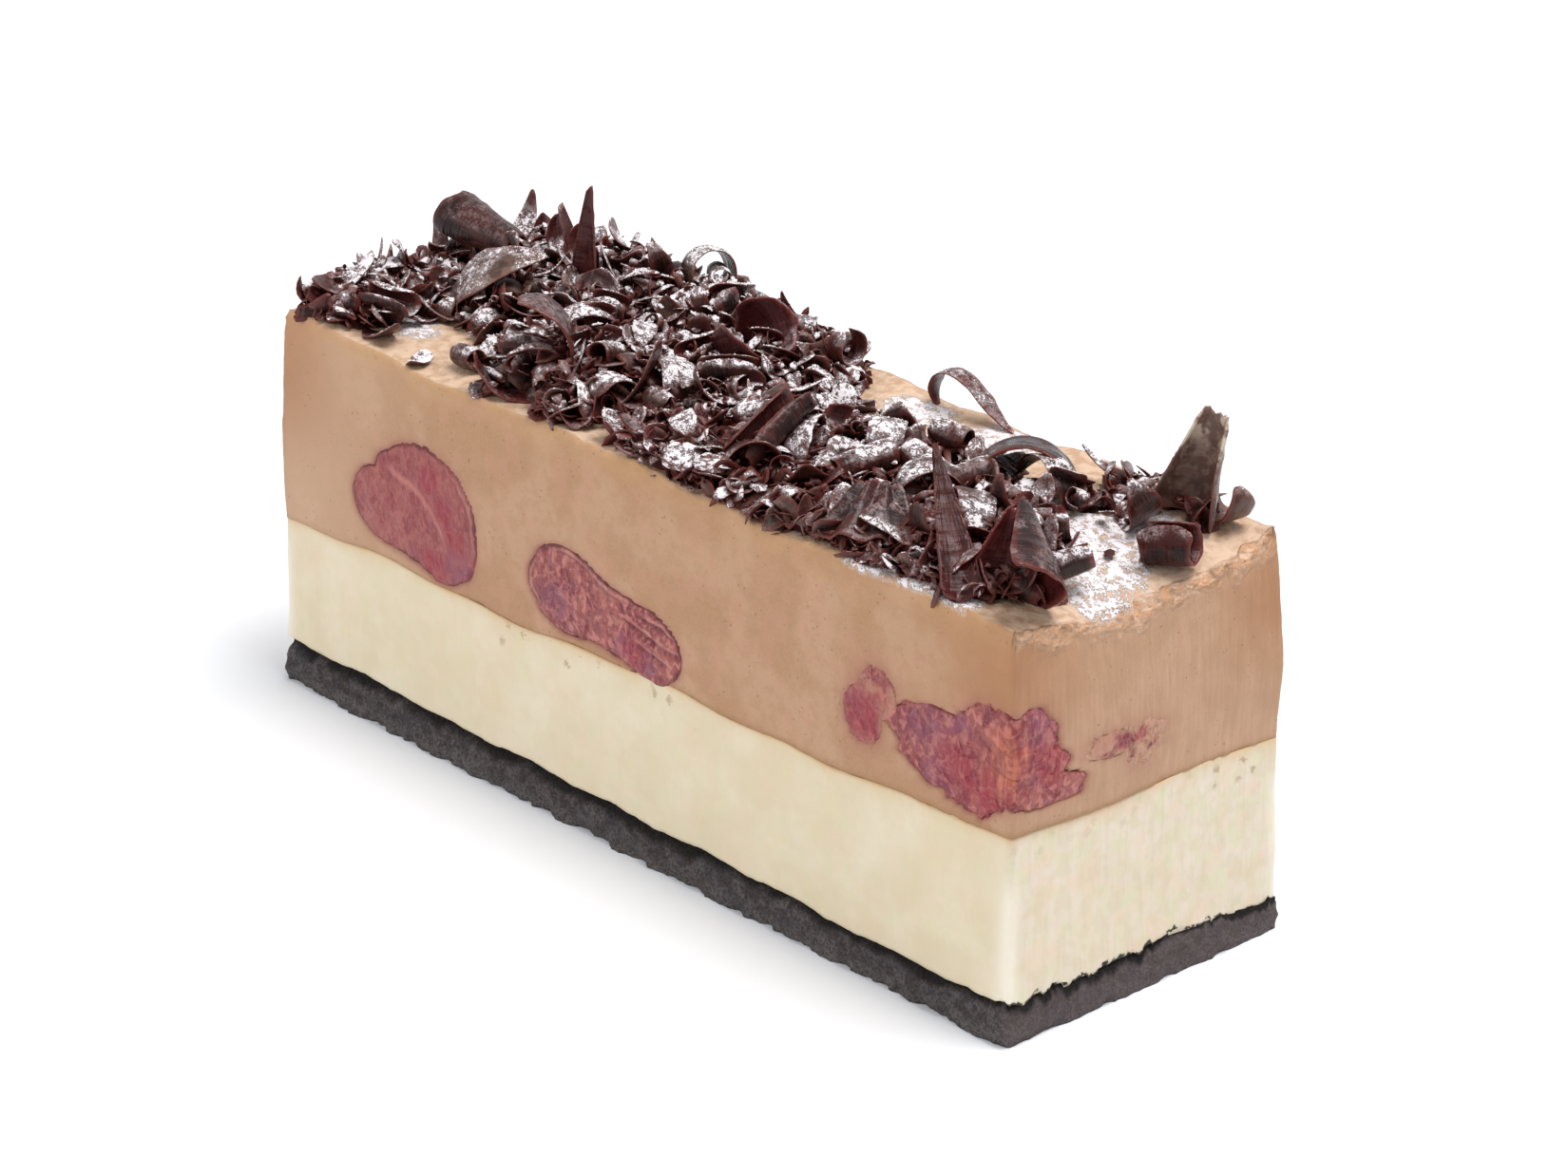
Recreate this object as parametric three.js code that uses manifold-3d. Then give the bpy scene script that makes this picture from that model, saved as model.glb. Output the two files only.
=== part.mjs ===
// A cut slice of black forest cheesecake, in millimetres.
// X runs along the slice, Y across it and Z up. The origin is the centre of the underside.
// From below: a dark crumb base, a pale cheesecake layer, a chocolate mousse layer with cut
// cherries in its faces, and a heap of chocolate shavings with large curls standing out of it.

import * as THREE from 'three';
import { mergeVertices } from 'three/addons/utils/BufferGeometryUtils.js';
import Module from 'manifold-3d';

const wasm = await Module();
wasm.setup();

// Driving dimensions of the slice

const LENGTH = 120;
const WIDTH = 39.4;
const BASE_TOP = 4.9;
const CREAM_TOP = 21.1;
const MOUSSE_TOP = 45.1;
const LEAN = 1.085;          // how far each side leans in over the full height
const GAP = 0.3;             // air between two pieces that touch
const ROOM = 1.35 * GAP;     // how far a curl swells to clear its room in the others

const END_BULGE = 0.55;      // the soft mousse bellies out of the short ends
const SIDE_BULGE = 0.3;
const RAGGED = 0.9;          // depth of the crumbly outline of the base
const RAGGED_TOP = 0.65;     // share of that depth left at the top of the base

const SHEET = 0.6;           // thickness of a chocolate curl
const END_WIDTH = 0.02;      // share of the length that a tapering end is cut short by
const TAPER_POWER = 0.7;     // below 1 the ends of a curl are round, above 1 hollow
const HEAP_SEED = 20417;
const SPREAD = 7.6;          // distance between the middles of neighbouring loose shavings
const STRAY = 0.6;           // how far a loose shaving is out of its place, in spreads
const OPEN_UPWARD = 0.45;    // share of the loose shavings that open upward
const STEEPEST = 25;         // steepest slope of a loose shaving's axis, in degrees
const LIFT = [0.5, 1.6];     // height of a loose shaving's middle over the core
const CORE_SHARE = 0.72;     // height of the core under the loose shavings

const LAYER_STEPS = [18, 6]; // divisions of every layer along X and Y
const CURL_FACET = 30;       // degrees of roll in one facet of a large curl
const SHAVING_FACET = 80;    // and of a shaving in the heap

// Small number tools

const radians = (degrees) => degrees * Math.PI / 180;
const clamp = (value, low, high) => Math.min(high, Math.max(low, value));
const smooth = (value) => value * value * (3 - 2 * value);

/** A repeatable stream of random numbers from 0 to 1. */
function seeded(seed) {
  let state = seed >>> 0;
  return () => {
    state = (state + 0x6D2B79F5) >>> 0;
    let t = state;
    t = Math.imul(t ^ (t >>> 15), t | 1);
    t ^= t + Math.imul(t ^ (t >>> 7), t | 61);
    return ((t ^ (t >>> 14)) >>> 0) / 4294967296;
  };
}

// Heights of the layers at a place on the slice

const END_SAG = 2.3;         // the mousse sags in the middle of the near short end
const END_SAG_REACH = 6;

function baseTop(x, y) {
  return BASE_TOP - 0.009 * x + 0.3 * Math.sin(0.31 * x + 0.5 * y) * Math.cos(0.27 * y - 0.12 * x);
}

function creamTop(x, y) {
  return CREAM_TOP + 0.014 * x + 0.35 * Math.sin(0.13 * x + 0.8) - 0.014 * y
    + 0.2 * Math.sin(0.37 * x - 0.22 * y);
}

function mousseTop(x, y) {
  const across = y / (WIDTH / 2);
  const sag = END_SAG * Math.max(0, 1 - across * across) * Math.exp((x - LENGTH / 2) / END_SAG_REACH);
  return MOUSSE_TOP - 0.012 * x + 0.35 * Math.sin(0.12 * x + 2.2) + 0.02 * y
    + 0.2 * Math.sin(0.43 * x + 0.31 * y) - sag;
}

/** Half the length and half the width of the slice at a height. */
function halfSizes(z) {
  const lean = LEAN * z / MOUSSE_TOP;
  return [LENGTH / 2 - lean, WIDTH / 2 - lean];
}

// From geometry to solids and back

function toSolid(geometry) {
  geometry.deleteAttribute('normal');
  geometry.deleteAttribute('uv');
  const merged = mergeVertices(geometry, 1e-5);
  return new wasm.Manifold(new wasm.Mesh({
    numProp: 3,
    vertProperties: new Float32Array(merged.attributes.position.array),
    triVerts: new Uint32Array(merged.index.array),
  }));
}

/** The largest piece of a solid, without loose scraps and sealed hollows. */
function largest(solid) {
  const parts = solid.decompose();
  return parts.reduce((best, part) => (part.volume() > best.volume() ? part : best));
}

function toGeometry(solid) {
  const mesh = solid.getMesh();
  const geometry = new THREE.BufferGeometry();
  const position = new Float32Array(mesh.vertProperties);
  geometry.setAttribute('position', new THREE.BufferAttribute(position, 3));
  geometry.setIndex(new THREE.BufferAttribute(new Uint32Array(mesh.triVerts), 1));
  geometry.computeVertexNormals();
  return geometry;
}

// The three layers

/**
 * A layer is a box whose top and bottom follow two height functions and whose sides lean in.
 * courses are its divisions along Z, and outline(x, y, z, rise) moves a side point out.
 */
function layerGeometry(lower, upper, courses, outline, steps = LAYER_STEPS) {
  const geometry = new THREE.BoxGeometry(2, 2, 1, ...steps, courses);
  const position = geometry.attributes.position;
  for (let i = 0; i < position.count; i++) {
    const u = position.getX(i);
    const v = position.getY(i);
    const rise = position.getZ(i) + 0.5;
    const flatX = u * LENGTH / 2;
    const flatY = v * WIDTH / 2;
    const low = lower(flatX, flatY);
    const z = low + rise * (upper(flatX, flatY) - low);
    const [halfX, halfY] = halfSizes(z);
    const [growX, growY] = outline ? outline(flatX, flatY, z, rise) : [0, 0];
    position.setXYZ(i, u * (halfX + growX), v * (halfY + growY), z);
  }
  return geometry;
}

/** The broken edge of the crumbs: bites out of the outline, never past the full size. */
function crumbOutline(x, y, z, rise) {
  const bite = (a, b) => {
    const wave = Math.sin(1.9 * a + 2.3 * b) + Math.sin(0.83 * a - 1.1 * b) + Math.sin(0.37 * a + 4 * b);
    return -RAGGED * clamp(0.3 + 0.35 * wave, 0, 1);
  };
  const depth = 1 + (RAGGED_TOP - 1) * smooth(rise);
  return [bite(y, z) * depth, bite(x, z) * depth];
}

function mousseOutline(grow) {
  return (x, y, z) => {
    const rise = clamp((z - CREAM_TOP) / (MOUSSE_TOP - CREAM_TOP), 0, 1);
    const belly = Math.sin(Math.PI * Math.min(1, rise * 1.15)) * (1 - 0.3 * Math.sin(0.2 * (x + y)));
    return [END_BULGE * belly + grow, SIDE_BULGE * belly + grow];
  };
}

function crumbBase() {
  const top = (x, y) => baseTop(x, y) - GAP / 2;
  return toSolid(layerGeometry(() => 0, top, 2, crumbOutline));
}

function cheesecakeLayer() {
  const bottom = (x, y) => baseTop(x, y) + GAP / 2;
  const top = (x, y) => creamTop(x, y) - GAP / 2;
  return toSolid(layerGeometry(bottom, top, 2));
}

/** The mousse layer before the cherries are let into it, or grown a little on every side. */
function mousseBlock(grow) {
  const bottom = (x, y) => creamTop(x, y) + GAP / 2;
  const top = (x, y) => mousseTop(x, y) + grow;
  return toSolid(layerGeometry(bottom, top, 3, mousseOutline(grow)));
}

// The cherries, cut through where the knife passed

// Each lobe is its middle, its three half sizes and its tilt in the face of the slice.
const FRONT = -WIDTH / 2;
const BACK = WIDTH / 2;
const CHERRIES = {
  cherry_front_left: [
    { at: [-35.0, FRONT + 2.2, 28.5], half: [11.0, 8.2, 7.5], tilt: 9 },
  ],
  cherry_front_middle: [
    { at: [-7.3, FRONT + 2.4, 27.6], half: [7.9, 7.0, 5.5], tilt: 8 },
    { at: [4.8, FRONT + 2.2, 25.4], half: [6.4, 6.4, 4.5], tilt: 16 },
  ],
  cherry_front_small: [
    { at: [39.7, FRONT + 1.6, 30.3], half: [4.5, 5.0, 5.0], tilt: -12 },
  ],
  cherry_corner: [
    { at: [54.2, -15.6, 29.9], half: [10.6, 6.8, 6.6], tilt: 14 },
  ],
  cherry_end: [
    { at: [58.0, -2.6, 28.0], half: [4.6, 5.4, 4.1], tilt: 0 },
  ],
  cherry_back_left: [
    { at: [-41.0, BACK - 2.0, 26.6], half: [9.2, 7.4, 6.2], tilt: -8 },
  ],
  cherry_back_middle: [
    { at: [-4.0, BACK - 2.4, 29.6], half: [8.0, 6.8, 6.6], tilt: 12 },
    { at: [5.5, BACK - 2.0, 32.0], half: [5.0, 5.2, 4.4], tilt: 0 },
  ],
  cherry_back_right: [
    { at: [30.5, BACK - 2.2, 26.0], half: [10.2, 7.2, 5.6], tilt: -5 },
  ],
  cherry_far_end: [
    { at: [-57.4, 2.5, 28.6], half: [6.5, 9.2, 6.8], tilt: 0 },
  ],
};

const UNEVEN = 0.05;         // depth of the dents in a cherry, as a share of its size

/** A plump, slightly uneven ball. grow makes room for it in the mousse. */
function lobeSolid({ at, half, tilt }, grow) {
  const geometry = new THREE.SphereGeometry(1, 11, 7);
  const position = geometry.attributes.position;
  for (let i = 0; i < position.count; i++) {
    const p = new THREE.Vector3().fromBufferAttribute(position, i);
    const dent = Math.sin(3.1 * p.x + at[0]) * Math.cos(2.7 * p.z + at[2]);
    p.multiplyScalar(1 + UNEVEN * dent);
    position.setXYZ(i, p.x * (half[0] + grow), p.y * (half[1] + grow), p.z * (half[2] + grow));
  }
  geometry.rotateY(-radians(tilt));
  geometry.translate(...at);
  return toSolid(geometry);
}

function cherrySolid(lobes, grow) {
  return lobes.map((lobe) => lobeSolid(lobe, grow)).reduce((a, b) => a.add(b));
}

function cherries(block) {
  const solids = {};
  for (const [name, lobes] of Object.entries(CHERRIES)) {
    solids[name] = largest(cherrySolid(lobes, 0).intersect(block));
  }
  return solids;
}

function mousseLayer(block) {
  const room = Object.values(CHERRIES).map((lobes) => cherrySolid(lobes, GAP));
  return largest(room.reduce((solid, hole) => solid.subtract(hole), block));
}

// Chocolate curls

// A curl is a thin sheet rolled about an axis.
// at: its middle. length: along the roll. width: along the axis. turn: degrees rolled in all.
// tighten: how much sharper one end is rolled. cone: how much wider one side is than the other.
// turned: heading and slope of the axis, then the spin about it, where 0 opens upward.
// taper: share of the length over which each end narrows.
const LARGE_CURLS = {
  curl_half_pipe: {
    at: [-50.3, 3.9, 53.3], length: 9.5, width: 11.5, turn: 210, cone: -0.35,
    turned: [0, -8, 165], taper: [0.1, 0.1],
  },
  curl_spike: {
    at: [-33.8, 5.6, 55.2], length: 3.4, width: 11.5, turn: 90, cone: -0.7,
    turned: [90, 86, 0], taper: [0.1, 0.1],
  },
  curl_leaf: {
    at: [-40, -4, 50], length: 16, width: 8, turn: 80, turned: [-42, -20, 160], taper: [0.4, 0.4],
  },
  curl_boat: {
    at: [-30, 2, 50], length: 10, width: 11, turn: 170, turned: [10, -10, -10], taper: [0.4, 0.4],
  },
  curl_front_loop: {
    at: [-20.5, -13, 49.3], length: 25, width: 6, turn: 270, turned: [-42, 0, -50],
    taper: [0.1, 0.3],
  },
  curl_front_band: {
    at: [-8, -10.7, 48.3], length: 15, width: 5, turn: 80, turned: [-60, 0, -45],
    taper: [0.2, 0.3],
  },
  curl_back_loop: {
    at: [-25.5, 16.2, 51.8], length: 12, width: 4, turn: 260, turned: [-20, 10, 180],
    taper: [0.1, 0.1],
  },
  curl_spoon: {
    at: [-6, 5, 50.5], length: 17, width: 8, turn: 280, cone: 0.2, turned: [5, 30, -20],
    taper: [0.2, 0.2],
  },
  curl_tube: {
    at: [13.4, -9.2, 49.4], length: 9.5, width: 10.5, turn: 300, turned: [-85, -25, 0],
    taper: [0.1, 0.1],
  },
  curl_back_strip: {
    at: [14.3, 16.4, 47.9], length: 16, width: 2.2, turn: -150, tighten: -1,
    turned: [90, 0, -12], taper: [0.2, 0.3],
  },
  curl_arch: {
    at: [35.1, 6, 47.6], length: 16, width: 6, turn: 170, turned: [-48, 10, 180],
    taper: [0.1, 0.1],
  },
  curl_fan: {
    at: [34.5, -14.4, 47.8], length: 12, width: 7, turn: 120, cone: 0.5, turned: [-60, -40, 180],
    taper: [0.2, 0.2],
  },
  curl_blade: {
    at: [45.6, -14.6, 50.9], length: 3, width: 16.5, turn: 80, cone: -0.4, turned: [150, 42, 0],
    taper: [0.1, 0.1],
  },
  curl_ribbon: {
    at: [53.0, -12.0, 48.9], length: 14, width: 9.5, turn: 230, cone: -0.72, turned: [138, 42, 60],
    taper: [0.05, 0.05],
  },
  curl_upright: {
    at: [52.7, 13.4, 51.6], length: 8.5, width: 11.5, turn: 200, cone: -0.45,
    turned: [48, 75, -60], taper: [0.1, 0.1],
  },
  curl_hook: {
    at: [53.6, 15.4, 47.4], length: 12, width: 3.6, turn: 190, tighten: 1, turned: [84, 0, 0],
    taper: [0.2, 0.2],
  },
  curl_quill: {
    at: [56.0, 3.6, 46.6], length: 12.5, width: 6.2, turn: 330, turned: [28, 12, 0],
    taper: [0.1, 0.1],
  },
};

const ROLL_STEPS = 48;

/** Points along the middle of a rolled sheet, in the plane across its axis. */
function rollLine({ length, turn, tighten = 0 }) {
  const step = length / ROLL_STEPS;
  const xs = [0];
  const zs = [0];
  for (let i = 0; i < ROLL_STEPS; i++) {
    const w = (i + 0.5) / ROLL_STEPS - 0.5;
    const heading = radians(turn) * (w + tighten * w * w);
    xs.push(xs[i] + step * Math.cos(heading));
    zs.push(zs[i] + step * Math.sin(heading));
  }
  const mean = (list) => list.reduce((a, b) => a + b, 0) / list.length;
  const middleX = mean(xs);
  const middleZ = mean(zs);
  return { xs: xs.map((x) => x - middleX), zs: zs.map((z) => z - middleZ) };
}

function along(list, share) {
  const place = clamp(share, 0, 1) * ROLL_STEPS;
  const i = Math.min(ROLL_STEPS - 1, Math.floor(place));
  return list[i] + (place - i) * (list[i + 1] - list[i]);
}

/** The axes of a turned curl: across the roll, along its axis, and the side it opens to. */
function curlAxes([heading, slope, spin]) {
  const a = radians(heading);
  const e = radians(slope);
  const s = radians(spin);
  const axis = new THREE.Vector3(Math.cos(e) * Math.cos(a), Math.cos(e) * Math.sin(a), Math.sin(e));
  const side = new THREE.Vector3(Math.sin(a), -Math.cos(a), 0);
  const up = new THREE.Vector3().crossVectors(side, axis);
  const turnedSide = side.clone().multiplyScalar(Math.cos(s)).addScaledVector(up, Math.sin(s));
  const turnedUp = up.clone().multiplyScalar(Math.cos(s)).addScaledVector(side, -Math.sin(s));
  return new THREE.Matrix4().makeBasis(turnedSide, axis, turnedUp);
}

/** A grid of points on the middle of the sheet, rows along the roll. grow blunts its ends. */
function curlGrid(curl, rows, columns, grow) {
  const { xs, zs } = rollLine(curl);
  const { width, cone = 0, taper, at } = curl;
  const place = curlAxes(curl.turned).setPosition(...at);
  const blunt = END_WIDTH + grow / curl.length;
  const grid = [];
  for (let i = 0; i <= rows; i++) {
    const u = i / rows;
    const start = clamp((u + blunt) / taper[0], 0, 1) ** TAPER_POWER;
    const end = clamp((1 - u + blunt) / taper[1], 0, 1) ** TAPER_POWER;
    const row = [];
    for (let j = 0; j <= columns; j++) {
      const v = (2 * j / columns - 1) * start * end;
      const flare = 1 + cone * v;
      const point = new THREE.Vector3(along(xs, u) * flare, width / 2 * v, along(zs, u) * flare);
      row.push(point.applyMatrix4(place));
    }
    grid.push(row);
  }
  return grid;
}

/** Adds the walls that close the rim between the two faces of a sheet. */
function rimTriangles(rim, faceSize) {
  const triangles = [];
  rim.forEach((a, k) => {
    const b = rim[(k + 1) % rim.length];
    triangles.push(a, b, b + faceSize, a, b + faceSize, a + faceSize);
  });
  return triangles;
}

/** A curl as a closed sheet. grow swells it on every side, to clear room for it in others. */
function curlSolid(curl, rows, columns, grow = 0) {
  const grid = curlGrid(curl, rows, columns, grow);
  const faceSize = (rows + 1) * (columns + 1);
  const index = (i, j) => i * (columns + 1) + j;
  const points = new Float32Array(2 * faceSize * 3);
  for (let i = 0; i <= rows; i++) {
    for (let j = 0; j <= columns; j++) {
      const before = grid[Math.max(0, i - 1)][j];
      const after = grid[Math.min(rows, i + 1)][j];
      const left = grid[i][Math.max(0, j - 1)];
      const right = grid[i][Math.min(columns, j + 1)];
      const roll = after.clone().sub(before).normalize();
      const across = right.clone().sub(left).normalize();
      const thick = roll.clone().cross(across).normalize().multiplyScalar(SHEET / 2 + grow);
      const middle = grid[i][j].clone()
        .addScaledVector(roll, grow * ((i === rows) - (i === 0)))
        .addScaledVector(across, grow * ((j === columns) - (j === 0)));
      middle.clone().add(thick).toArray(points, 3 * index(i, j));
      middle.sub(thick).toArray(points, 3 * (faceSize + index(i, j)));
    }
  }
  const triangles = [];
  for (let i = 0; i < rows; i++) {
    for (let j = 0; j < columns; j++) {
      const [a, b, c, d] = [index(i, j), index(i + 1, j), index(i + 1, j + 1), index(i, j + 1)];
      triangles.push(a, b, c, a, c, d);
      triangles.push(...[a, c, b, a, d, c].map((k) => k + faceSize));
    }
  }
  const rim = [];
  for (let j = 0; j < columns; j++) rim.push(index(0, j));
  for (let i = 0; i < rows; i++) rim.push(index(i, columns));
  for (let j = columns; j > 0; j--) rim.push(index(rows, j));
  for (let i = rows; i > 0; i--) rim.push(index(i, 0));
  triangles.push(...rimTriangles(rim, faceSize));
  const geometry = new THREE.BufferGeometry();
  geometry.setAttribute('position', new THREE.BufferAttribute(points, 3));
  geometry.setIndex(triangles);
  return toSolid(geometry);
}

/** Every large curl, cut clear of the mousse and of the curls before it. */
function largeCurls(clearOfMousse) {
  const solids = {};
  const taken = [];
  for (const [name, curl] of Object.entries(LARGE_CURLS)) {
    const rows = Math.max(3, Math.ceil(Math.abs(curl.turn) / CURL_FACET));
    let solid = curlSolid(curl, rows, 2).subtract(clearOfMousse);
    for (const other of taken) solid = solid.subtract(other);
    solids[name] = largest(solid);
    taken.push(curlSolid(curl, rows, 2, ROOM));
  }
  return { solids, taken };
}

// The heap of shavings

// Mounds of the heap: middle, reach along X and Y, and height over the mousse.
const MOUNDS = [
  { x: -53, y: -4, reachX: 9, reachY: 15, height: 5.0 },
  { x: -49, y: 7, reachX: 13, reachY: 15, height: 3.6 },
  { x: -37, y: 8, reachX: 14, reachY: 16, height: 6.6 },
  { x: -23, y: 9, reachX: 15, reachY: 15, height: 6.4 },
  { x: -19, y: -7, reachX: 14, reachY: 15, height: 6.0 },
  { x: -6, y: 3, reachX: 12, reachY: 17, height: 5.2 },
  { x: 10, y: -6, reachX: 17, reachY: 16, height: 4.4 },
  { x: 27, y: -6, reachX: 17, reachY: 16, height: 4.0 },
  { x: 43, y: -5, reachX: 13, reachY: 16, height: 4.2 },
  { x: 46, y: 13, reachX: 8, reachY: 6.5, height: 2.8 },
];
const EDGE_FALL = 1.8;       // the heap falls away over this distance from the slice's edge
const HEAP_INSET = 0.5;
const LEAST_HEIGHT = 1;      // where the heap is lower it carries no loose shavings
const CORE_FOOT = 1;         // how deep the core reaches into the mousse before it is cut clear
const LUMPY = 0.22;          // unevenness of the core, as a share of its height
const CORE_STEPS = [22, 8];

function heapHeight(x, y) {
  let height = 0;
  for (const mound of MOUNDS) {
    const away = ((x - mound.x) / mound.reachX) ** 2 + ((y - mound.y) / mound.reachY) ** 2;
    if (away < 1) height = Math.max(height, mound.height * Math.sqrt(1 - away));
  }
  const [halfX, halfY] = halfSizes(MOUSSE_TOP);
  const inside = Math.min(halfX - Math.abs(x), halfY - Math.abs(y)) - HEAP_INSET;
  return height * smooth(clamp(inside / EDGE_FALL, 0, 1));
}

/** The packed small shavings under the loose ones, as a low uneven mound. */
function heapCore() {
  const foot = (x, y) => mousseTop(x, y) - CORE_FOOT;
  const crest = (x, y) => {
    const lumps = Math.sin(1.1 * x + 0.4 * y) * Math.cos(0.9 * y - 0.3 * x);
    return mousseTop(x, y) + CORE_SHARE * heapHeight(x, y) * (1 + LUMPY * lumps);
  };
  return toSolid(layerGeometry(foot, crest, 1, null, CORE_STEPS));
}

// Kinds of shaving: share of all, then least and most of each size.
const KINDS = [
  { share: 0.38, length: [8, 13], width: [2.6, 5], turn: [120, 250], taper: [0.15, 0.4] },
  { share: 0.27, length: [5, 8], width: [3, 5.5], turn: [30, 90], taper: [0.3, 0.5] },
  { share: 0.17, length: [6, 9], width: [4, 7], turn: [280, 330], taper: [0.05, 0.15] },
  { share: 0.18, length: [6, 10], width: [1.2, 2], turn: [60, 200], taper: [0.3, 0.5] },
];

/** Small shavings that stand at known places, besides the scattered ones. */
const PLACED_SHAVINGS = [
  { at: [-41, 8.5, 53.2], length: 2.6, width: 7.5, turn: 60, cone: -0.6, turned: [200, 75, 0],
    taper: [0.1, 0.1] },
  { at: [-10.5, 15.2, 50.4], length: 6, width: 2.2, turn: 40, turned: [-2, 0, 55],
    taper: [0.5, 0.6] },
  { at: [1, 13, 49.6], length: 11, width: 2.2, turn: 320, turned: [3, 0, 0], taper: [0.1, 0.1] },
  { at: [-38.5, 15.5, 51.2], length: 8, width: 5, turn: 110, turned: [-60, 30, 30],
    taper: [0.2, 0.3] },
  { at: [-44.5, -15.6, 46.2], length: 9, width: 3, turn: 50, turned: [80, 0, 20],
    taper: [0.3, 0.3] },
  { at: [42.5, 12.3, 47.9], length: 7.5, width: 5, turn: 330, turned: [-48, 10, 0],
    taper: [0.1, 0.1] },
];

/** One loose shaving of a random kind over a place on the heap, half sunk into its core. */
function looseShaving(x, y, random) {
  const between = ([low, high]) => low + (high - low) * random();
  let pick = random();
  const kind = KINDS.find(({ share }) => (pick -= share) < 0) ?? KINDS[0];
  const piece = {
    length: between(kind.length),
    width: between(kind.width),
    turn: between(kind.turn),
    taper: [between(kind.taper), between(kind.taper)],
  };
  const facing = random() < OPEN_UPWARD ? 0 : 180;
  const spin = facing + between([-45, 45]);
  piece.turned = [between([0, 360]), between([-STEEPEST, STEEPEST]), spin];
  const [halfX, halfY] = halfSizes(MOUSSE_TOP);
  const reach = piece.length / 3;
  piece.at = [
    clamp(x, reach - halfX, halfX - reach),
    clamp(y, reach - halfY, halfY - reach),
    mousseTop(x, y) + CORE_SHARE * heapHeight(x, y) + between(LIFT),
  ];
  return piece;
}

/** Loose shavings in staggered rows over the heap, each a little out of its place. */
function looseShavings() {
  const random = seeded(HEAP_SEED);
  const pieces = [];
  const rowStep = SPREAD * Math.sin(radians(60));
  const stray = () => STRAY * (random() - 0.5);
  const rows = Math.floor(WIDTH / rowStep);
  const columns = Math.floor(LENGTH / SPREAD);
  for (let row = 0; row < rows; row++) {
    for (let column = 0; column < columns; column++) {
      const stagger = row % 2 ? 0.75 : 0.25;
      const x = (column + stagger - columns / 2 + stray()) * SPREAD;
      const y = (row + 0.5 - rows / 2 + stray()) * rowStep;
      if (heapHeight(x, y) > LEAST_HEIGHT) pieces.push(looseShaving(x, y, random));
    }
  }
  return pieces;
}

function shavingsHeap(clearOfMousse, takenByCurls) {
  let heap = heapCore();
  for (const piece of [...PLACED_SHAVINGS, ...looseShavings()]) {
    const rows = Math.max(2, Math.ceil(Math.abs(piece.turn) / SHAVING_FACET));
    heap = heap.add(curlSolid(piece, rows, 1));
  }
  heap = heap.subtract(clearOfMousse);
  for (const room of takenByCurls) heap = heap.subtract(room);
  return largest(heap);
}

// Finishes

const FINISHES = {
  crumb: { color: 0x3c302c, roughness: 0.9 },
  cream: { color: 0xe6dac0, roughness: 0.6 },
  mousse: { color: 0xbd9272, roughness: 0.65 },
  cherry: { color: 0x9c4a4c, roughness: 0.35 },
  chocolate: { color: 0x4a302c, roughness: 0.4 },
};

function node(name, solid, finish) {
  const material = new THREE.MeshStandardMaterial({ ...FINISHES[finish], metalness: 0 });
  const mesh = new THREE.Mesh(toGeometry(solid), material);
  mesh.name = name;
  return mesh;
}

// The whole slice

const slice = new THREE.Group();
const block = mousseBlock(0);
const clearOfMousse = mousseBlock(GAP);
const { solids: curls, taken } = largeCurls(clearOfMousse);

slice.add(node('crumb_base', crumbBase(), 'crumb'));
slice.add(node('cheesecake_layer', cheesecakeLayer(), 'cream'));
slice.add(node('mousse_layer', mousseLayer(block), 'mousse'));
for (const [name, solid] of Object.entries(cherries(block))) {
  slice.add(node(name, solid, 'cherry'));
}
slice.add(node('shavings_heap', shavingsHeap(clearOfMousse, taken), 'chocolate'));
for (const [name, solid] of Object.entries(curls)) {
  slice.add(node(name, solid, 'chocolate'));
}

export default slice;
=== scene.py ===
"""A cut slice of black forest cheesecake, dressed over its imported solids.

Fine layers, cut cherries, chocolate curls, small shavings and icing sugar. Sizes are in
millimetres until a mesh is made. X runs along the slice, Y across it and Z up.
"""

import itertools
import math

import bpy
import numpy as np
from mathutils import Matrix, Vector
from mathutils.bvhtree import BVHTree


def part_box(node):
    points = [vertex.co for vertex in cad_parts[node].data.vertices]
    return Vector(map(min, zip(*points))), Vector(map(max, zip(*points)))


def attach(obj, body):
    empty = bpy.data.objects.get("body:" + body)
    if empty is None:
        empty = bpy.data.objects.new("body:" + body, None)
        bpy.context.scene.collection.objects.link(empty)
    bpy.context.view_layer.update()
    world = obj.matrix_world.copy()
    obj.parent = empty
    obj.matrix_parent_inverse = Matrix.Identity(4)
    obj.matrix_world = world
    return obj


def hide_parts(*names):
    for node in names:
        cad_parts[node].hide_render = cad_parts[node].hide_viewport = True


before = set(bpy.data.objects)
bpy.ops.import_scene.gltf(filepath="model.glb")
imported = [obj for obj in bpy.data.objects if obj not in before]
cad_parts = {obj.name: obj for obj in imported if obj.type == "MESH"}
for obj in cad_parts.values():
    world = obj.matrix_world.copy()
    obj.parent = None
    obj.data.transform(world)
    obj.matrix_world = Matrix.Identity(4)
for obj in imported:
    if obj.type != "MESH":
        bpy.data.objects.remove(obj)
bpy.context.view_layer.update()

MM = 0.001

# Driving sizes, the same as the solids have

base_low, base_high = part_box("crumb_base")
LENGTH = (base_high.x - base_low.x) / MM
WIDTH = (base_high.y - base_low.y) / MM
BASE_TOP = 4.9
CREAM_TOP = 21.1
MOUSSE_TOP = 45.1
LEAN = 1.085
END_BULGE = 0.55
SIDE_BULGE = 0.3
END_SAG = 2.3
END_SAG_REACH = 6.0

CORNER = 0.5                 # radius of the corners that the knife left
CELL = 0.4                   # size of a face on the cut sides
ALONG = round(LENGTH / CELL)
ACROSS = round(WIDTH / CELL)
MOUSSE_COURSES, CREAM_COURSES, CRUMB_COURSES = 56, 44, 16

# Small number tools


def smooth(value):
    value = np.clip(value, 0.0, 1.0)
    return value * value * (3 - 2 * value)


def between(low, high, share):
    return low + (high - low) * share


def peak(value, width):
    """1 where value is 0, falling to 0 on both sides of it."""
    return np.exp(-(value / width) ** 2)


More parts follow.
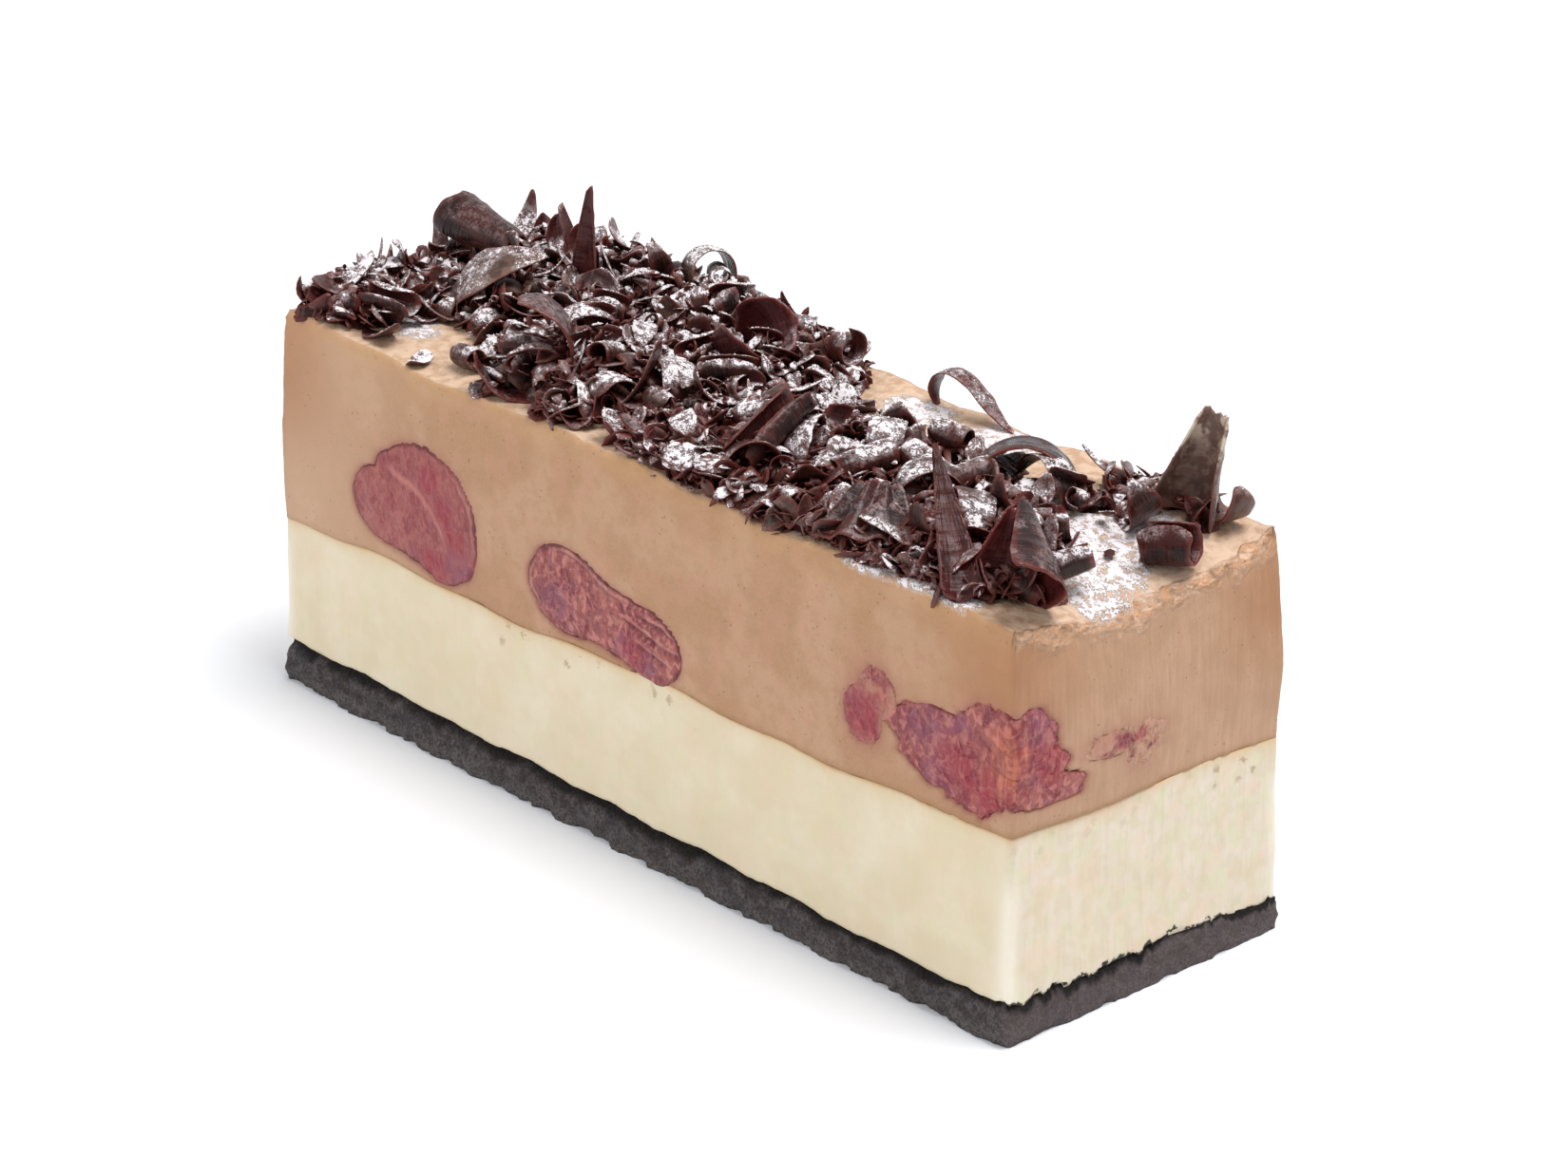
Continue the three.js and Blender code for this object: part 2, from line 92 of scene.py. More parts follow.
BITS = 0xFFFFFFFF            # keeps a whole number to its lowest 32 bits
PRIMES = (374761393, 668265263, 974634777)
SEED_STEP = 7919


def hashed(key):
    """A number from -1 to 1 for each whole number, the same on every run."""
    key = key & BITS
    key = (key ^ (key >> 15)) * 0x2C1B3C6D & BITS
    key = (key ^ (key >> 12)) * 0x297A2D39 & BITS
    return ((key ^ (key >> 15)) & BITS) / 0x7FFFFFFF - 1


def noise(x, y, z=0.0, seed=0):
    """Smooth noise from -1 to 1 with one cell per unit."""
    x, y, z = np.broadcast_arrays(x, y, z)
    cells = [np.floor(c).astype(np.int64) for c in (x, y, z)]
    parts = [c - cell for c, cell in zip((x, y, z), cells)]
    parts = [p * p * (3 - 2 * p) for p in parts]
    total = 0.0
    for corner in itertools.product((0, 1), repeat=3):
        key = sum((cell + d) * prime for cell, d, prime in zip(cells, corner, PRIMES))
        weight = 1.0
        for part, d in zip(parts, corner):
            weight = weight * (part if d else 1 - part)
        total = total + weight * hashed(key + seed * SEED_STEP)
    return total


def rough_noise(x, y, seed, octaves=3):
    sizes = 2.0 ** np.arange(octaves)
    return sum(noise(x * size, y * size, seed=seed + octave) / size for octave, size in enumerate(sizes))


# Heights of the layers


def base_top(x, y):
    return BASE_TOP - 0.009 * x + 0.3 * np.sin(0.31 * x + 0.5 * y) * np.cos(0.27 * y - 0.12 * x)


def cream_top(x, y):
    return (CREAM_TOP + 0.014 * x + 0.35 * np.sin(0.13 * x + 0.8) - 0.014 * y
            + 0.2 * np.sin(0.37 * x - 0.22 * y))


def mousse_top(x, y):
    across = y / (WIDTH / 2)
    sag = END_SAG * np.maximum(0, 1 - across ** 2) * np.exp((x - LENGTH / 2) / END_SAG_REACH)
    return (MOUSSE_TOP - 0.012 * x + 0.35 * np.sin(0.12 * x + 2.2) + 0.02 * y
            + 0.2 * np.sin(0.43 * x + 0.31 * y) - sag)


def half_sizes(z):
    lean = LEAN * z / MOUSSE_TOP
    return LENGTH / 2 - lean, WIDTH / 2 - lean


TOP_X, TOP_Y = half_sizes(MOUSSE_TOP)


def from_edge(x, y):
    """Distance from the nearest edge of the top."""
    return np.minimum(TOP_X - np.abs(x), TOP_Y - np.abs(y))


def kept_inside(x, y, room):
    """Places moved in from the edges of the top where they lie nearer to them than room."""
    return np.clip(x, room - TOP_X, TOP_X - room), np.clip(y, room - TOP_Y, TOP_Y - room)


# Places on the cut sides are given by s, which runs round the slice from the left end of the
# long front side: front, near end, back, far end.

CORNERS_AT = np.cumsum([0, LENGTH, WIDTH, LENGTH, WIDTH])
ROUND = CORNERS_AT[-1]


def unit_outline(s):
    """The place of s on a square that reaches from -1 to 1."""
    s = np.mod(s, ROUND)
    return np.interp(s, CORNERS_AT, [-1, 1, 1, -1, -1]), np.interp(s, CORNERS_AT, [-1, -1, 1, 1, -1])


def flat_place(s):
    """The x and y of s on the unleaning outline."""
    u, v = unit_outline(s)
    return u * LENGTH / 2, v * WIDTH / 2


def below_top(s, z):
    """How far a place on the cut sides lies below the slice's upper edge."""
    return mousse_top(*flat_place(s)) - z


def below_cream(s, z):
    return cream_top(*flat_place(s)) - z


def from_corner(s):
    """Distance along the sides to the nearest corner."""
    return np.abs(np.mod(s, ROUND)[..., None] - CORNERS_AT).min(-1)


def side_points(s, z, out=0.0):
    """Points on the cut sides and their directions outward. out moves them off the flat side."""
    u, v = unit_outline(s)
    half_x, half_y = half_sizes(z)
    x, y = u * half_x, v * half_y
    core_x = np.clip(x, CORNER - half_x, half_x - CORNER)
    core_y = np.clip(y, CORNER - half_y, half_y - CORNER)
    length = np.hypot(x - core_x, y - core_y)
    nx, ny = (x - core_x) / length, (y - core_y) / length
    reach = CORNER + out
    return np.stack(np.broadcast_arrays(core_x + nx * reach, core_y + ny * reach, z), -1), nx, ny


def end_share(s):
    """1 on the two short ends and 0 on the long sides."""
    return np.abs(side_points(s, 0.0)[1])


# Meshes


def make_piece(name, points, faces, material, values=None):
    """A piece from points in millimetres. values are numbers or vectors kept at each point."""
    mesh = bpy.data.meshes.new(name)
    mesh.from_pydata(points * MM, [], faces)
    for key, value in (values or {}).items():
        value = np.asarray(value, np.float32)
        kind, field = ("FLOAT", "value") if value.ndim == 1 else ("FLOAT_VECTOR", "vector")
        attribute = mesh.attributes.new(key, kind, "POINT")
        attribute.data.foreach_set(field, value.ravel())
    mesh.validate()
    mesh.materials.append(material)
    mesh.shade_smooth()
    piece = bpy.data.objects.new(name, mesh)
    bpy.context.scene.collection.objects.link(piece)
    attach(piece, "root")
    return piece


def loop_quads(rows, count):
    """Quads between rows of points that close on themselves."""
    row, i = np.meshgrid(np.arange(rows - 1), np.arange(count), indexing="ij")
    after = (i + 1) % count
    quads = [row * count + i, row * count + after, (row + 1) * count + after, (row + 1) * count + i]
    return np.stack(quads, -1).reshape(-1, 4)


def grid_quads(index):
    """Quads between points whose numbers stand in a grid."""
    return np.stack([index[:-1, :-1], index[1:, :-1], index[1:, 1:], index[:-1, 1:]], -1).reshape(-1, 4)


def grid_rim(index):
    """The numbers of the points round the edge of a grid, in order."""
    return np.concatenate([index[:-1, 0], index[-1, :-1], index[:0:-1, -1], index[0, :0:-1]])


# Materials


def srgb(red, green, blue):
    """A colour as seen on a screen, from 0 to 255, for a shader."""
    channels = [c / 255 for c in (red, green, blue)]
    return [c / 12.92 if c <= 0.04045 else ((c + 0.055) / 1.055) ** 2.4 for c in channels] + [1.0]


class Value:
    """A number that a shader works out, for sums, differences and products. In them, and as a
    share or a height, a name stands for the piece's values of that name."""

    def __init__(self, made, socket):
        self.made, self.socket = made, socket

    def __add__(self, other):
        return self.made.math("ADD", self, other)

    def __sub__(self, other):
        return self.made.math("SUBTRACT", self, other)

    def __rsub__(self, other):
        return self.made.math("SUBTRACT", other, self)

    def __mul__(self, other):
        return self.made.math("MULTIPLY", self, other)

    def clamped(self):
        """Keeps the sum, difference or product between 0 and 1."""
        self.socket.node.use_clamp = True
        return self

    def rise(self, low, high, most=1.0, least=0.0):
        """Grows smoothly from least to most while this value runs from low to high."""
        inputs = {"Value": self, "From Min": low, "From Max": high, "To Min": least, "To Max": most}
        return self.made.node("MapRange", "Result", inputs, interpolation_type="SMOOTHSTEP")

    def fall(self, low, high, most=1.0, least=0.0):
        return self.rise(low, high, least, most)


class Finish:
    """A procedural material, where each paint and relief goes over the earlier ones. Lengths
    inside it are millimetres."""

    def __init__(self, name, **surface):
        self.material = bpy.data.materials.new(name)
        self.material.use_nodes = True
        self.tree = self.material.node_tree
        self.surface = self.tree.nodes["Principled BSDF"]
        for key, value in surface.items():
            self.surface.inputs[key.replace("_", " ")].default_value = value
        self.place = self.scaled(self.node("TexCoord", "Object", {}), (1 / MM,) * 3)
        self.colour = None
        self.normal = None

    def put(self, socket, value):
        if isinstance(value, str):
            value = self.attribute(value)
        if isinstance(value, Value):
            self.tree.links.new(value.socket, socket)
        else:
            socket.default_value = value

    def node(self, kind, output, inputs, **settings):
        """Adds a node and returns one of its outputs."""
        node = self.tree.nodes.new("ShaderNode" + kind)
        for key, value in settings.items():
            setattr(node, key, value)
        for key, value in inputs.items():
            self.put(node.inputs[key], value)
        return Value(self, node.outputs[output])

    def math(self, operation, a, b=0.0):
        return self.node("Math", 0, {0: a, 1: b}, operation=operation)

    def scaled(self, place, factors):
        return self.node("VectorMath", 0, {0: place, 1: factors}, operation="MULTIPLY")

    def attribute(self, name, output="Fac"):
        return self.node("Attribute", output, {}, attribute_name=name)

    def noise(self, size, detail=2.0, place=None, stretch=(1, 1, 1), distortion=0.0):
        """Noise around 0.5 whose grains are about size millimetres, times stretch."""
        place = self.scaled(place or self.place, tuple(1 / (size * s) for s in stretch))
        inputs = {"Vector": place, "Scale": 1.0, "Detail": detail, "Distortion": distortion}
        return self.node("TexNoise", "Fac", inputs)

    def cells(self, size):
        """Distance to the nearest of scattered dots, in cells of size millimetres."""
        return self.node("TexVoronoi", "Distance", {"Vector": self.place, "Scale": 1 / size})

    def mix(self, share, under, over):
        return self.node("Mix", 2, {"Factor": share, 6: under, 7: over}, data_type="RGBA")

    def ground(self, share, first, second):
        """The lowest paint, from one colour to another."""
        self.colour = self.mix(share, srgb(*first), srgb(*second))

    def paint(self, share, *colour):
        self.colour = self.mix(share, self.colour, srgb(*colour))

    def relief(self, height, depth):
        """Bump of depth millimetres from a height of 0 to 1."""
        inputs = {"Distance": depth * MM, "Height": height}
        if self.normal is not None:
            inputs["Normal"] = self.normal
        self.normal = self.node("Bump", "Normal", inputs)

    def finish(self, roughness):
        self.put(self.surface.inputs["Base Color"], self.colour)
        self.put(self.surface.inputs["Roughness"], roughness)
        if self.normal is not None:
            self.put(self.surface.inputs["Normal"], self.normal)
        return self.material


SUGAR = (236, 229, 232)
THIN_SUGAR = (172, 150, 150)
THIN_ON_MOUSSE = (218, 198, 184)


def dusted(made, thin):
    """Icing sugar in drifts with crumbling edges, and a thin veil of it around them."""
    drift = made.noise(0.8, detail=4, distortion=0.4) - 0.5
    speck = made.noise(0.2, detail=3) - 0.5
    cover = made.attribute("dust") * (drift * 3.6 + speck * 2.6 + 1.0)
    made.paint(cover.rise(0.08, 0.45, 0.55), *thin)
    covered = cover.rise(0.36, 0.6)
    made.paint(covered, *SUGAR)
    return covered


def mousse_tone(made):
    """The mottled colour of set mousse. Returns its grain."""
    made.ground(made.noise(9.0).rise(0.42, 0.58), (170, 130, 98), (181, 143, 113))
    made.paint(made.noise(1.6, detail=3).rise(0.45, 0.62, 0.35), 167, 125, 91)
    made.paint(made.noise(3.4).rise(0.52, 0.64, 0.3), 188, 140, 116)
    grain = made.noise(0.28)
    made.paint(grain.rise(0.3, 0.75, 0.14), 214, 180, 150)
    return grain


def mousse_finish():
    made = Finish("mousse", Specular_IOR_Level=0.25)
    grain = mousse_tone(made)
    streaks = made.noise(0.5, detail=3, stretch=(1, 1, 14))
    pores = made.cells(0.75).fall(0.08, 0.2) * made.noise(2.2).rise(0.5, 0.62)
    crust = made.noise(1.3, detail=4)
    crumble = made.noise(1.1, detail=3, stretch=(1, 1, 0.6))
    flecks = made.noise(0.9, detail=3, stretch=(1.4, 1.4, 0.6)).rise(0.52, 0.66, 0.75)
    made.paint("paler", 196, 164, 138)
    made.paint("corner", 164, 114, 78)
    made.paint(streaks.rise(0.3, 0.7) * "end" * 0.4, 156, 118, 90)
    away = (0.24 - made.attribute("corner") * 0.34).clamped()
    made.paint(away * "end", 196, 164, 138)
    # Pores are painted darker: painted shade in their hollows.
    made.paint(pores * 0.4, 126, 90, 68)
    made.paint("stain", 152, 92, 82)
    made.paint("seam", 146, 108, 66)
    made.paint(made.noise(4.0).rise(0.4, 0.6, 1.0, 0.5) * "warm", 194, 152, 102)
    made.paint(crust.rise(0.38, 0.6, 0.95, 0.35) * "top", 214, 184, 158)
    # The torn top edge is painted lighter, partly its own broken colour and partly a painted highlight.
    # Darker paint in its cracks is painted shade, and pale flecks go over it.
    made.paint(crumble.rise(0.46, 0.56) * "torn", 205, 156, 118)
    made.paint(crumble.fall(0.37, 0.46, 0.45) * "torn", 140, 96, 66)
    made.paint(flecks * "torn", 222, 190, 166)
    covered = dusted(made, THIN_ON_MOUSSE)
    made.relief(made.noise(0.35, detail=3), 0.05)
    made.relief(pores, -0.06)
    made.relief(streaks * "end", 0.12)
    made.relief(crust * "top", 0.3)
    made.relief(crumble * "torn", 0.7)
    made.relief(covered, 0.15)
    return made.finish(grain.rise(0.3, 0.7, 0.72, 0.55))


def cheesecake_finish():
    made = Finish("cheesecake", Specular_IOR_Level=0.3)
    end, low = made.attribute("end"), made.attribute("low")
    patch = made.noise(7.0)
    drags = made.noise(0.6, detail=3, stretch=(1, 1, 10))
    green = made.noise(2.4, detail=1).rise(0.46, 0.6, 0.5)
    pink = made.noise(3.3, detail=1).rise(0.5, 0.64, 0.5)
    mottle = made.noise(1.8, detail=3).rise(0.46, 0.6, 0.35)
    speck = (made.cells(2.6) + made.noise(0.45) * 0.6).fall(0.43, 0.56)
    crumbs = (made.noise(0.9) + low * 0.25).rise(0.66, 0.7) * low.rise(0.56, 0.78, 0.95)
    made.ground(patch.rise(0.35, 0.65), (217, 204, 177), (214, 199, 169))
    made.paint(made.noise(4.5, stretch=(1, 1, 1.4)).rise(0.48, 0.66, 0.4), 219, 197, 168)
    made.paint(made.noise(5.5, detail=3).rise(0.44, 0.68, 0.45), 224, 214, 192)
    made.paint(made.noise(2.6).rise(0.56, 0.68, 0.4), 214, 205, 166)
    made.paint(end * 0.5, 218, 206, 194)
    made.paint(green * (end + 0.3).clamped(), 209, 206, 170)
    made.paint(pink * (end + 0.2).clamped(), 222, 196, 172)
    made.paint(mottle * (end + 0.3).clamped(), 203, 190, 158)
    made.paint(drags.rise(0.45, 0.75) * (end + 0.25) * 0.14, 186, 172, 142)
    # A painted highlight down the near corner.
    made.paint("corner", 236, 228, 212)
    made.paint(speck * "specks" * 0.6, 140, 122, 84)
    made.paint("seam", 204, 166, 118)
    made.paint(crumbs, 34, 26, 22)
    made.relief(made.noise(0.6, detail=3), 0.05)
    made.relief(drags, 0.06)
    return made.finish(patch.rise(0.3, 0.7, 0.62, 0.5))


def crumb_finish():
    made = Finish("crumb", Specular_IOR_Level=0.25)
    clump = made.noise(1.4, detail=3)
    grain = made.noise(0.3, detail=3)
    made.ground(clump.rise(0.4, 0.6), (62, 55, 53), (88, 82, 81))
    made.paint(made.noise(3.0).rise(0.5, 0.6, 0.4), 70, 68, 78)
    # The lower part of the base is painted lighter: painted light on the face that leans out.
    made.paint(made.attribute("foot") * 0.6, 112, 108, 106)
    made.paint(grain.rise(0.45, 0.6, 0.6), 46, 40, 38)
    made.paint(made.cells(0.5).fall(0.05, 0.16) * 0.3, 124, 116, 112)
    made.paint(made.attribute("end") * 0.45, 92, 78, 78)
    # A painted shadow along the top of the base, under the cheesecake's edge.
    made.paint("under", 14, 9, 7)
    made.relief(clump, 0.3)
    made.relief(grain, 0.16)
    made.relief(made.cells(0.4), 0.1)
    return made.finish(grain.rise(0.3, 0.7, 0.95, 0.75))


def ridge_lines(made, size, width, distortion):
    """Soft wandering lines, as folds make them: 1 on a line and 0 off it."""
    waves = made.noise(size, detail=1, distortion=distortion)
    return made.math("ABSOLUTE", waves - 0.5).fall(0.0, width)


def cherry_finish():
    made = Finish("cherry", Specular_IOR_Level=0.3, Subsurface_Weight=0.1,
                  Subsurface_Radius=(1.0, 0.35, 0.3), Subsurface_Scale=1.0 * MM)
    rim, folded = made.attribute("rim"), made.attribute("folded")
    mottle = made.noise(0.95, stretch=(0.9, 0.9, 1.2), distortion=0.6)
    grain = made.noise(0.28)
    flames = made.noise(1.0, stretch=(0.9, 0.9, 5.5), distortion=0.3)
    folds = ridge_lines(made, 2.4, 0.12, 0.4) * folded * made.noise(2.6).rise(0.46, 0.54)
    made.ground(made.noise(2.6).rise(0.42, 0.58), (146, 74, 69), (134, 54, 57))
    made.paint(mottle.rise(0.5, 0.62) * (folded + 0.2).clamped() * 0.7, 190, 126, 114)
    made.paint(mottle.fall(0.38, 0.47) * (folded + 0.2).clamped() * 0.5, 108, 44, 60)
    made.paint(folded * made.noise(1.1).rise(0.56, 0.66, 0.25), 192, 104, 76)
    made.paint(grain.rise(0.54, 0.66, 0.2), 184, 112, 104)
    made.paint(mottle.fall(0.42, 0.6, 0.95, 0.45) * "purple", 130, 66, 84)
    made.paint(mottle.fall(0.4, 0.6, 0.95, 0.55) * "crimson", 142, 38, 52)
    made.paint(made.attribute("fiery") * 0.4, 164, 70, 62)
    made.paint(flames.fall(0.38, 0.5, 0.6) * "fiery", 128, 40, 46)
    made.paint(flames.rise(0.48, 0.68, 0.7) * "fiery", 200, 122, 88)
    # Ridges get a painted highlight.
    made.paint("ridge", 190, 124, 116)
    # Splits are painted dark: painted shade in the slit.
    made.paint("split", 80, 24, 32)
    # Fold lines get painted shade in their creases, and finer lines over them a painted highlight.
    made.paint(folds * 0.4, 98, 32, 46)
    made.paint(ridge_lines(made, 1.6, 0.05, 0.4) * folded * 0.18, 206, 146, 134)
    made.paint(rim.rise(0.7, 1.0) * rim.fall(1.15, 1.5) * "skin" * 0.7, 116, 62, 60)
    made.paint(rim.fall(0.8, 1.1, 0.35) * "skin", 194, 134, 124)
    flesh = made.colour
    mousse_tone(made)
    made.paint(made.noise(2.2).rise(0.42, 0.58, 0.65, 0.2), 172, 114, 98)
    swirls = ridge_lines(made, 1.5, 0.07, 1.2) * made.noise(3.2).rise(0.48, 0.56, 0.5)
    made.paint(swirls, 112, 66, 56)
    made.colour = made.mix("veil", flesh, made.colour)
    wobble = rim + made.noise(1.8) * 1.3
    ring = wobble.fall(0.9, 1.3) * rim.fall(0.75, 1.0) * (1.0 - made.attribute("veil"))
    ring = ring * made.noise(4.5).rise(0.42, 0.54, 1.0, 0.45)
    made.paint(ring * "outline", 92, 42, 42)
    made.relief(mottle, 0.2)
    made.relief(folds, -0.2)
    made.relief(grain, 0.05)
    return made.finish(mottle.rise(0.35, 0.65, 0.5, 0.3))


def chocolate_finish():
    made = Finish("chocolate", Specular_IOR_Level=0.22)
    sheet = made.attribute("sheet", "Vector")
    film = made.attribute("film")
    grooves = made.noise(0.32, detail=3, place=sheet, stretch=(9, 1, 1))
    pale_coat_and_sheen = film.rise(0.62, 0.9) * made.noise(2.2, detail=3).rise(0.46, 0.56)
    made.ground(made.noise(2.4).rise(0.42, 0.58), (30, 11, 11), (60, 25, 23))
    made.paint(grooves.rise(0.48, 0.64, 0.4), 84, 42, 38)
    made.paint(made.attribute("inner") * 0.3, 80, 26, 26)
    made.paint(made.attribute("rim") * 0.5, 126, 58, 50)
    # A thin pale coat, partly sugar and partly painted sheen, greys the chocolate. It turns into a paler
    # bloom where it is thickest.
    made.paint(film * made.noise(1.4, detail=3).rise(0.44, 0.58, 1.0, 0.45), 150, 128, 114)
    made.paint(pale_coat_and_sheen * 0.85, 212, 196, 174)
    covered = dusted(made, THIN_SUGAR)
    made.relief(grooves, 0.1)
    made.relief(made.noise(0.8, place=sheet, stretch=(1, 5, 1)), 0.14)
    made.relief(covered, 0.15)
    polish = made.noise(1.5).rise(0.42, 0.58, 0.36, 0.2)
    return made.finish(made.math("MAXIMUM", polish, covered * 0.9))


def sugar_finish():
    made = Finish("icing_sugar", Specular_IOR_Level=0.3)
    grain = made.noise(0.2)
    made.ground(grain.rise(0.3, 0.7), (240, 238, 240), (255, 254, 252))
    made.relief(grain, 0.05)
    return made.finish(grain.rise(0.3, 0.7, 0.95, 0.75))


# Cut cherries on the unfolded sides

FRONT_START = LENGTH / 2                 # add to x for s on the front side
NEAR_START = LENGTH + WIDTH / 2          # add to y for s on the near end
BACK_START = 1.5 * LENGTH + WIDTH        # less x for s on the back
FAR_START = 2 * LENGTH + 1.5 * WIDTH     # less y for s on the far end

# Each lobe: place s and z, half sizes, tilt. Notches: angle, depth, spread. The other places are
# measured from the cut's middle, each with a reach where it has three numbers.
CHERRIES = {
    "cherry_front_left": {
        "lobes": [(FRONT_START - 33.6, 29.4, 9.4, 7.2, -2), (FRONT_START - 40.0, 28.0, 6.5, 4.6, 8),
                  (FRONT_START - 29.8, 27.6, 5.6, 6.2, 14)],
        "notch": [(158, 0.07, 4)],
        "ridges": [[(-7.0, 3.9), (-2.0, 3.2), (1.6, 1.4), (4.0, -1.0), (5.4, -4.4)]],
        "crimson": [(1.8, 4.2, 2.2), (4.6, 1.4, 2.2), (6.4, -1.4, 2.0), (2.4, -5.4, 2.4)],
        "purple": [(6.6, -4.4, 3.0)], "skin": [(8.6, 2.0, 5.0)],
    },
    "cherry_front_middle": {
        "lobes": [(FRONT_START - 8.2, 27.4, 6.7, 5.2, 0), (FRONT_START - 0.8, 26.3, 7.2, 3.9, -9),
                  (FRONT_START + 5.6, 25.4, 5.1, 4.1, -6)],
        "splits": [[(2.0, 0.9), (8.4, -0.2), (13.4, -1.1)], [(4.4, -1.4), (8.6, -2.0), (11.8, -2.7)],
                   [(5.6, 2.1), (9.4, 1.4), (12.6, 0.7)]],
        "purple": [(-7.4, -0.8, 3.0), (3.6, -2.6, 2.2), (7.6, -3.0, 2.2)], "folded": 0.8,
        "crimson": [(5.6, -2.4, 2.2)], "skin": [(-4.0, 4.0, 4.0), (1.0, 3.6, 4.0), (-10.4, 0.0, 3.6)],
    },
    "cherry_front_small": {
        "lobes": [(FRONT_START + 38.8, 28.8, 3.1, 3.4, 20), (FRONT_START + 41.2, 32.0, 3.0, 2.8, 0)],
        "wobble": 0.05, "veil": 0.42, "folded": 0.5, "outline": 0.4,
        "crimson": [(-0.9, -1.2, 3.2)], "purple": [(-1.6, 0.2, 1.6)], "bare": [(-1.0, -1.4, 3.4)],
    },
    "cherry_corner": {
        "lobes": [(LENGTH - 10.8, 28.6, 5.4, 4.2, -24), (LENGTH - 5.0, 28.8, 5.4, 5.2, 0),
                  (LENGTH - 2.6, 33.0, 3.4, 3.4, 0), (LENGTH + 2.2, 31.6, 3.9, 4.3, 0),
                  (LENGTH + 2.6, 28.2, 4.2, 2.9, 0), (LENGTH + 6.6, 26.2, 3.2, 1.2, 12),
                  (LENGTH - 14.6, 30.6, 2.6, 1.0, 6)],
        "wobble": 0.1, "folded": 0.8, "outline": 0.18,
        "fiery": [(2.6, -1.0, 3.0), (3.4, 2.6, 2.8), (5.0, 0.6, 2.2)],
        "purple": [(-8.0, 1.4, 3.4), (-6.0, -3.4, 3.0), (-3.6, 3.0, 2.0), (7.0, 4.0, 2.8), (6.4, -0.6, 1.8)],
        "crimson": [(-3.0, -1.8, 3.6), (0.4, -3.2, 3.0), (8.6, -0.4, 2.8)],
    },
    "cherry_end": {
        "lobes": [(NEAR_START - 5.6, 29.0, 4.8, 1.6, 0), (NEAR_START - 1.0, 27.6, 3.2, 2.7, 0)],
        "wobble": 0.16, "veil": 1.0, "folded": 1.0, "outline": 0.0,
    },
    "cherry_back_left": {
        "lobes": [(BACK_START + 41.0, 26.6, 8.9, 6.0, 8)], "wobble": 0.04,
        "ridges": [[(-4.0, 2.0), (1.0, 0.6), (5.0, -2.2)]], "crimson": [(2.0, 2.4, 2.6)],
    },
    "cherry_back_middle": {
        "lobes": [(BACK_START + 4.0, 29.6, 7.7, 6.4, -12), (BACK_START - 5.5, 32.0, 4.8, 4.2, 0)],
        "wobble": 0.07, "folded": 0.8, "purple": [(4.0, -1.0, 3.5)],
    },
    "cherry_back_right": {
        "lobes": [(BACK_START - 30.5, 26.0, 9.9, 5.4, 5)], "wobble": 0.05, "fiery": [(-3.0, 0.0, 4.0)],
        "folded": 0.5,
    },
    "cherry_far_end": {
        "lobes": [(FAR_START - 2.5, 28.6, 8.9, 6.6, 0)], "wobble": 0.05,
        "splits": [[(-5.0, -1.5), (0.0, 0.8), (5.0, 1.0)]], "crimson": [(0.0, -2.0, 3.0)],
    },
}

CUT_ANGLES = 200
TRIED_REACHES = np.linspace(0, 22, 441)
MELT = 3.0                   # how sharply lobes stay apart where they meet


class Cut:
    """Where the knife opened a cherry: how far its outline reaches in each direction."""

    def __init__(self, name, lobes, wobble=0.025, notch=(), ridges=(), splits=(), veil=0.0, folded=0.15,
                 outline=0.85, fiery=(), purple=(), crimson=(), skin=(), bare=()):
        self.name, self.ridges, self.splits, self.veil = name, ridges, splits, veil
        self.even = {"folded": folded, "outline": outline}
        self.bare = bare
        self.spots = {"fiery": fiery, "purple": purple, "crimson": crimson, "skin": skin}
        weights = [a * b for _, _, a, b, _ in lobes]
        self.s = sum(w * lobe[0] for w, lobe in zip(weights, lobes)) / sum(weights)
        self.z = sum(w * lobe[1] for w, lobe in zip(weights, lobes)) / sum(weights)
        self.angles = np.linspace(0, 2 * np.pi, CUT_ANGLES, endpoint=False)
        around = np.stack([np.cos(self.angles), np.sin(self.angles)])
        s = self.s + np.outer(around[0], TRIED_REACHES)
        z = self.z + np.outer(around[1], TRIED_REACHES)
        filled = np.zeros(s.shape)
        for lobe_s, lobe_z, half_s, half_z, tilt in lobes:
            c, t = math.cos(math.radians(tilt)), math.sin(math.radians(tilt))
            ds, dz = s - lobe_s, z - lobe_z
            spread = ((ds * c + dz * t) / half_s) ** 2 + ((dz * c - ds * t) / half_z) ** 2
            filled += np.exp(-MELT * (spread - 1))
        self.reach = ((filled > 1) * TRIED_REACHES).max(1)
        seed = sum(map(ord, name))
        waves = rough_noise(*(around * 2.2), seed=seed) + 0.7 * rough_noise(*(around * 9), seed=seed + 5)
        self.reach *= 1 + wobble * waves
        for angle, depth, spread in notch:
            off = np.degrees(np.angle(np.exp(1j * (self.angles - math.radians(angle)))))
            self.reach *= 1 - depth * peak(off, spread)

    def share(self, s, z):
        """How far out a place is: 0 in the middle and 1 on the outline."""
        ds, dz = s - self.s, z - self.z
        around = np.mod(np.arctan2(dz, ds), 2 * np.pi)
        reach = np.interp(around, self.angles, self.reach, period=2 * np.pi)
        return np.hypot(ds, dz) / reach, reach


def along_line(line, ds, dz):
    """Signed height over a line of points, and 1 between its ends."""
    line = np.array(line)
    on = smooth((ds - line[0, 0]) / 2.5) * smooth((line[-1, 0] - ds) / 1.5)
    return dz - np.interp(ds, line[:, 0], line[:, 1]) + 0.2 * noise(ds / 1.3, line[0, 1]), on


def spots(places, ds, dz):
    """Soft round patches: 1 in the middle of each and 0 beyond its reach."""
    value = np.zeros(np.shape(ds))
    for spot_s, spot_z, reach in places:
        value = np.maximum(value, smooth(1.3 - np.hypot(ds - spot_s, dz - spot_z) / reach))
    return value


cuts = [Cut(name, **facts) for name, facts in CHERRIES.items()]

# The cut sides of the layers

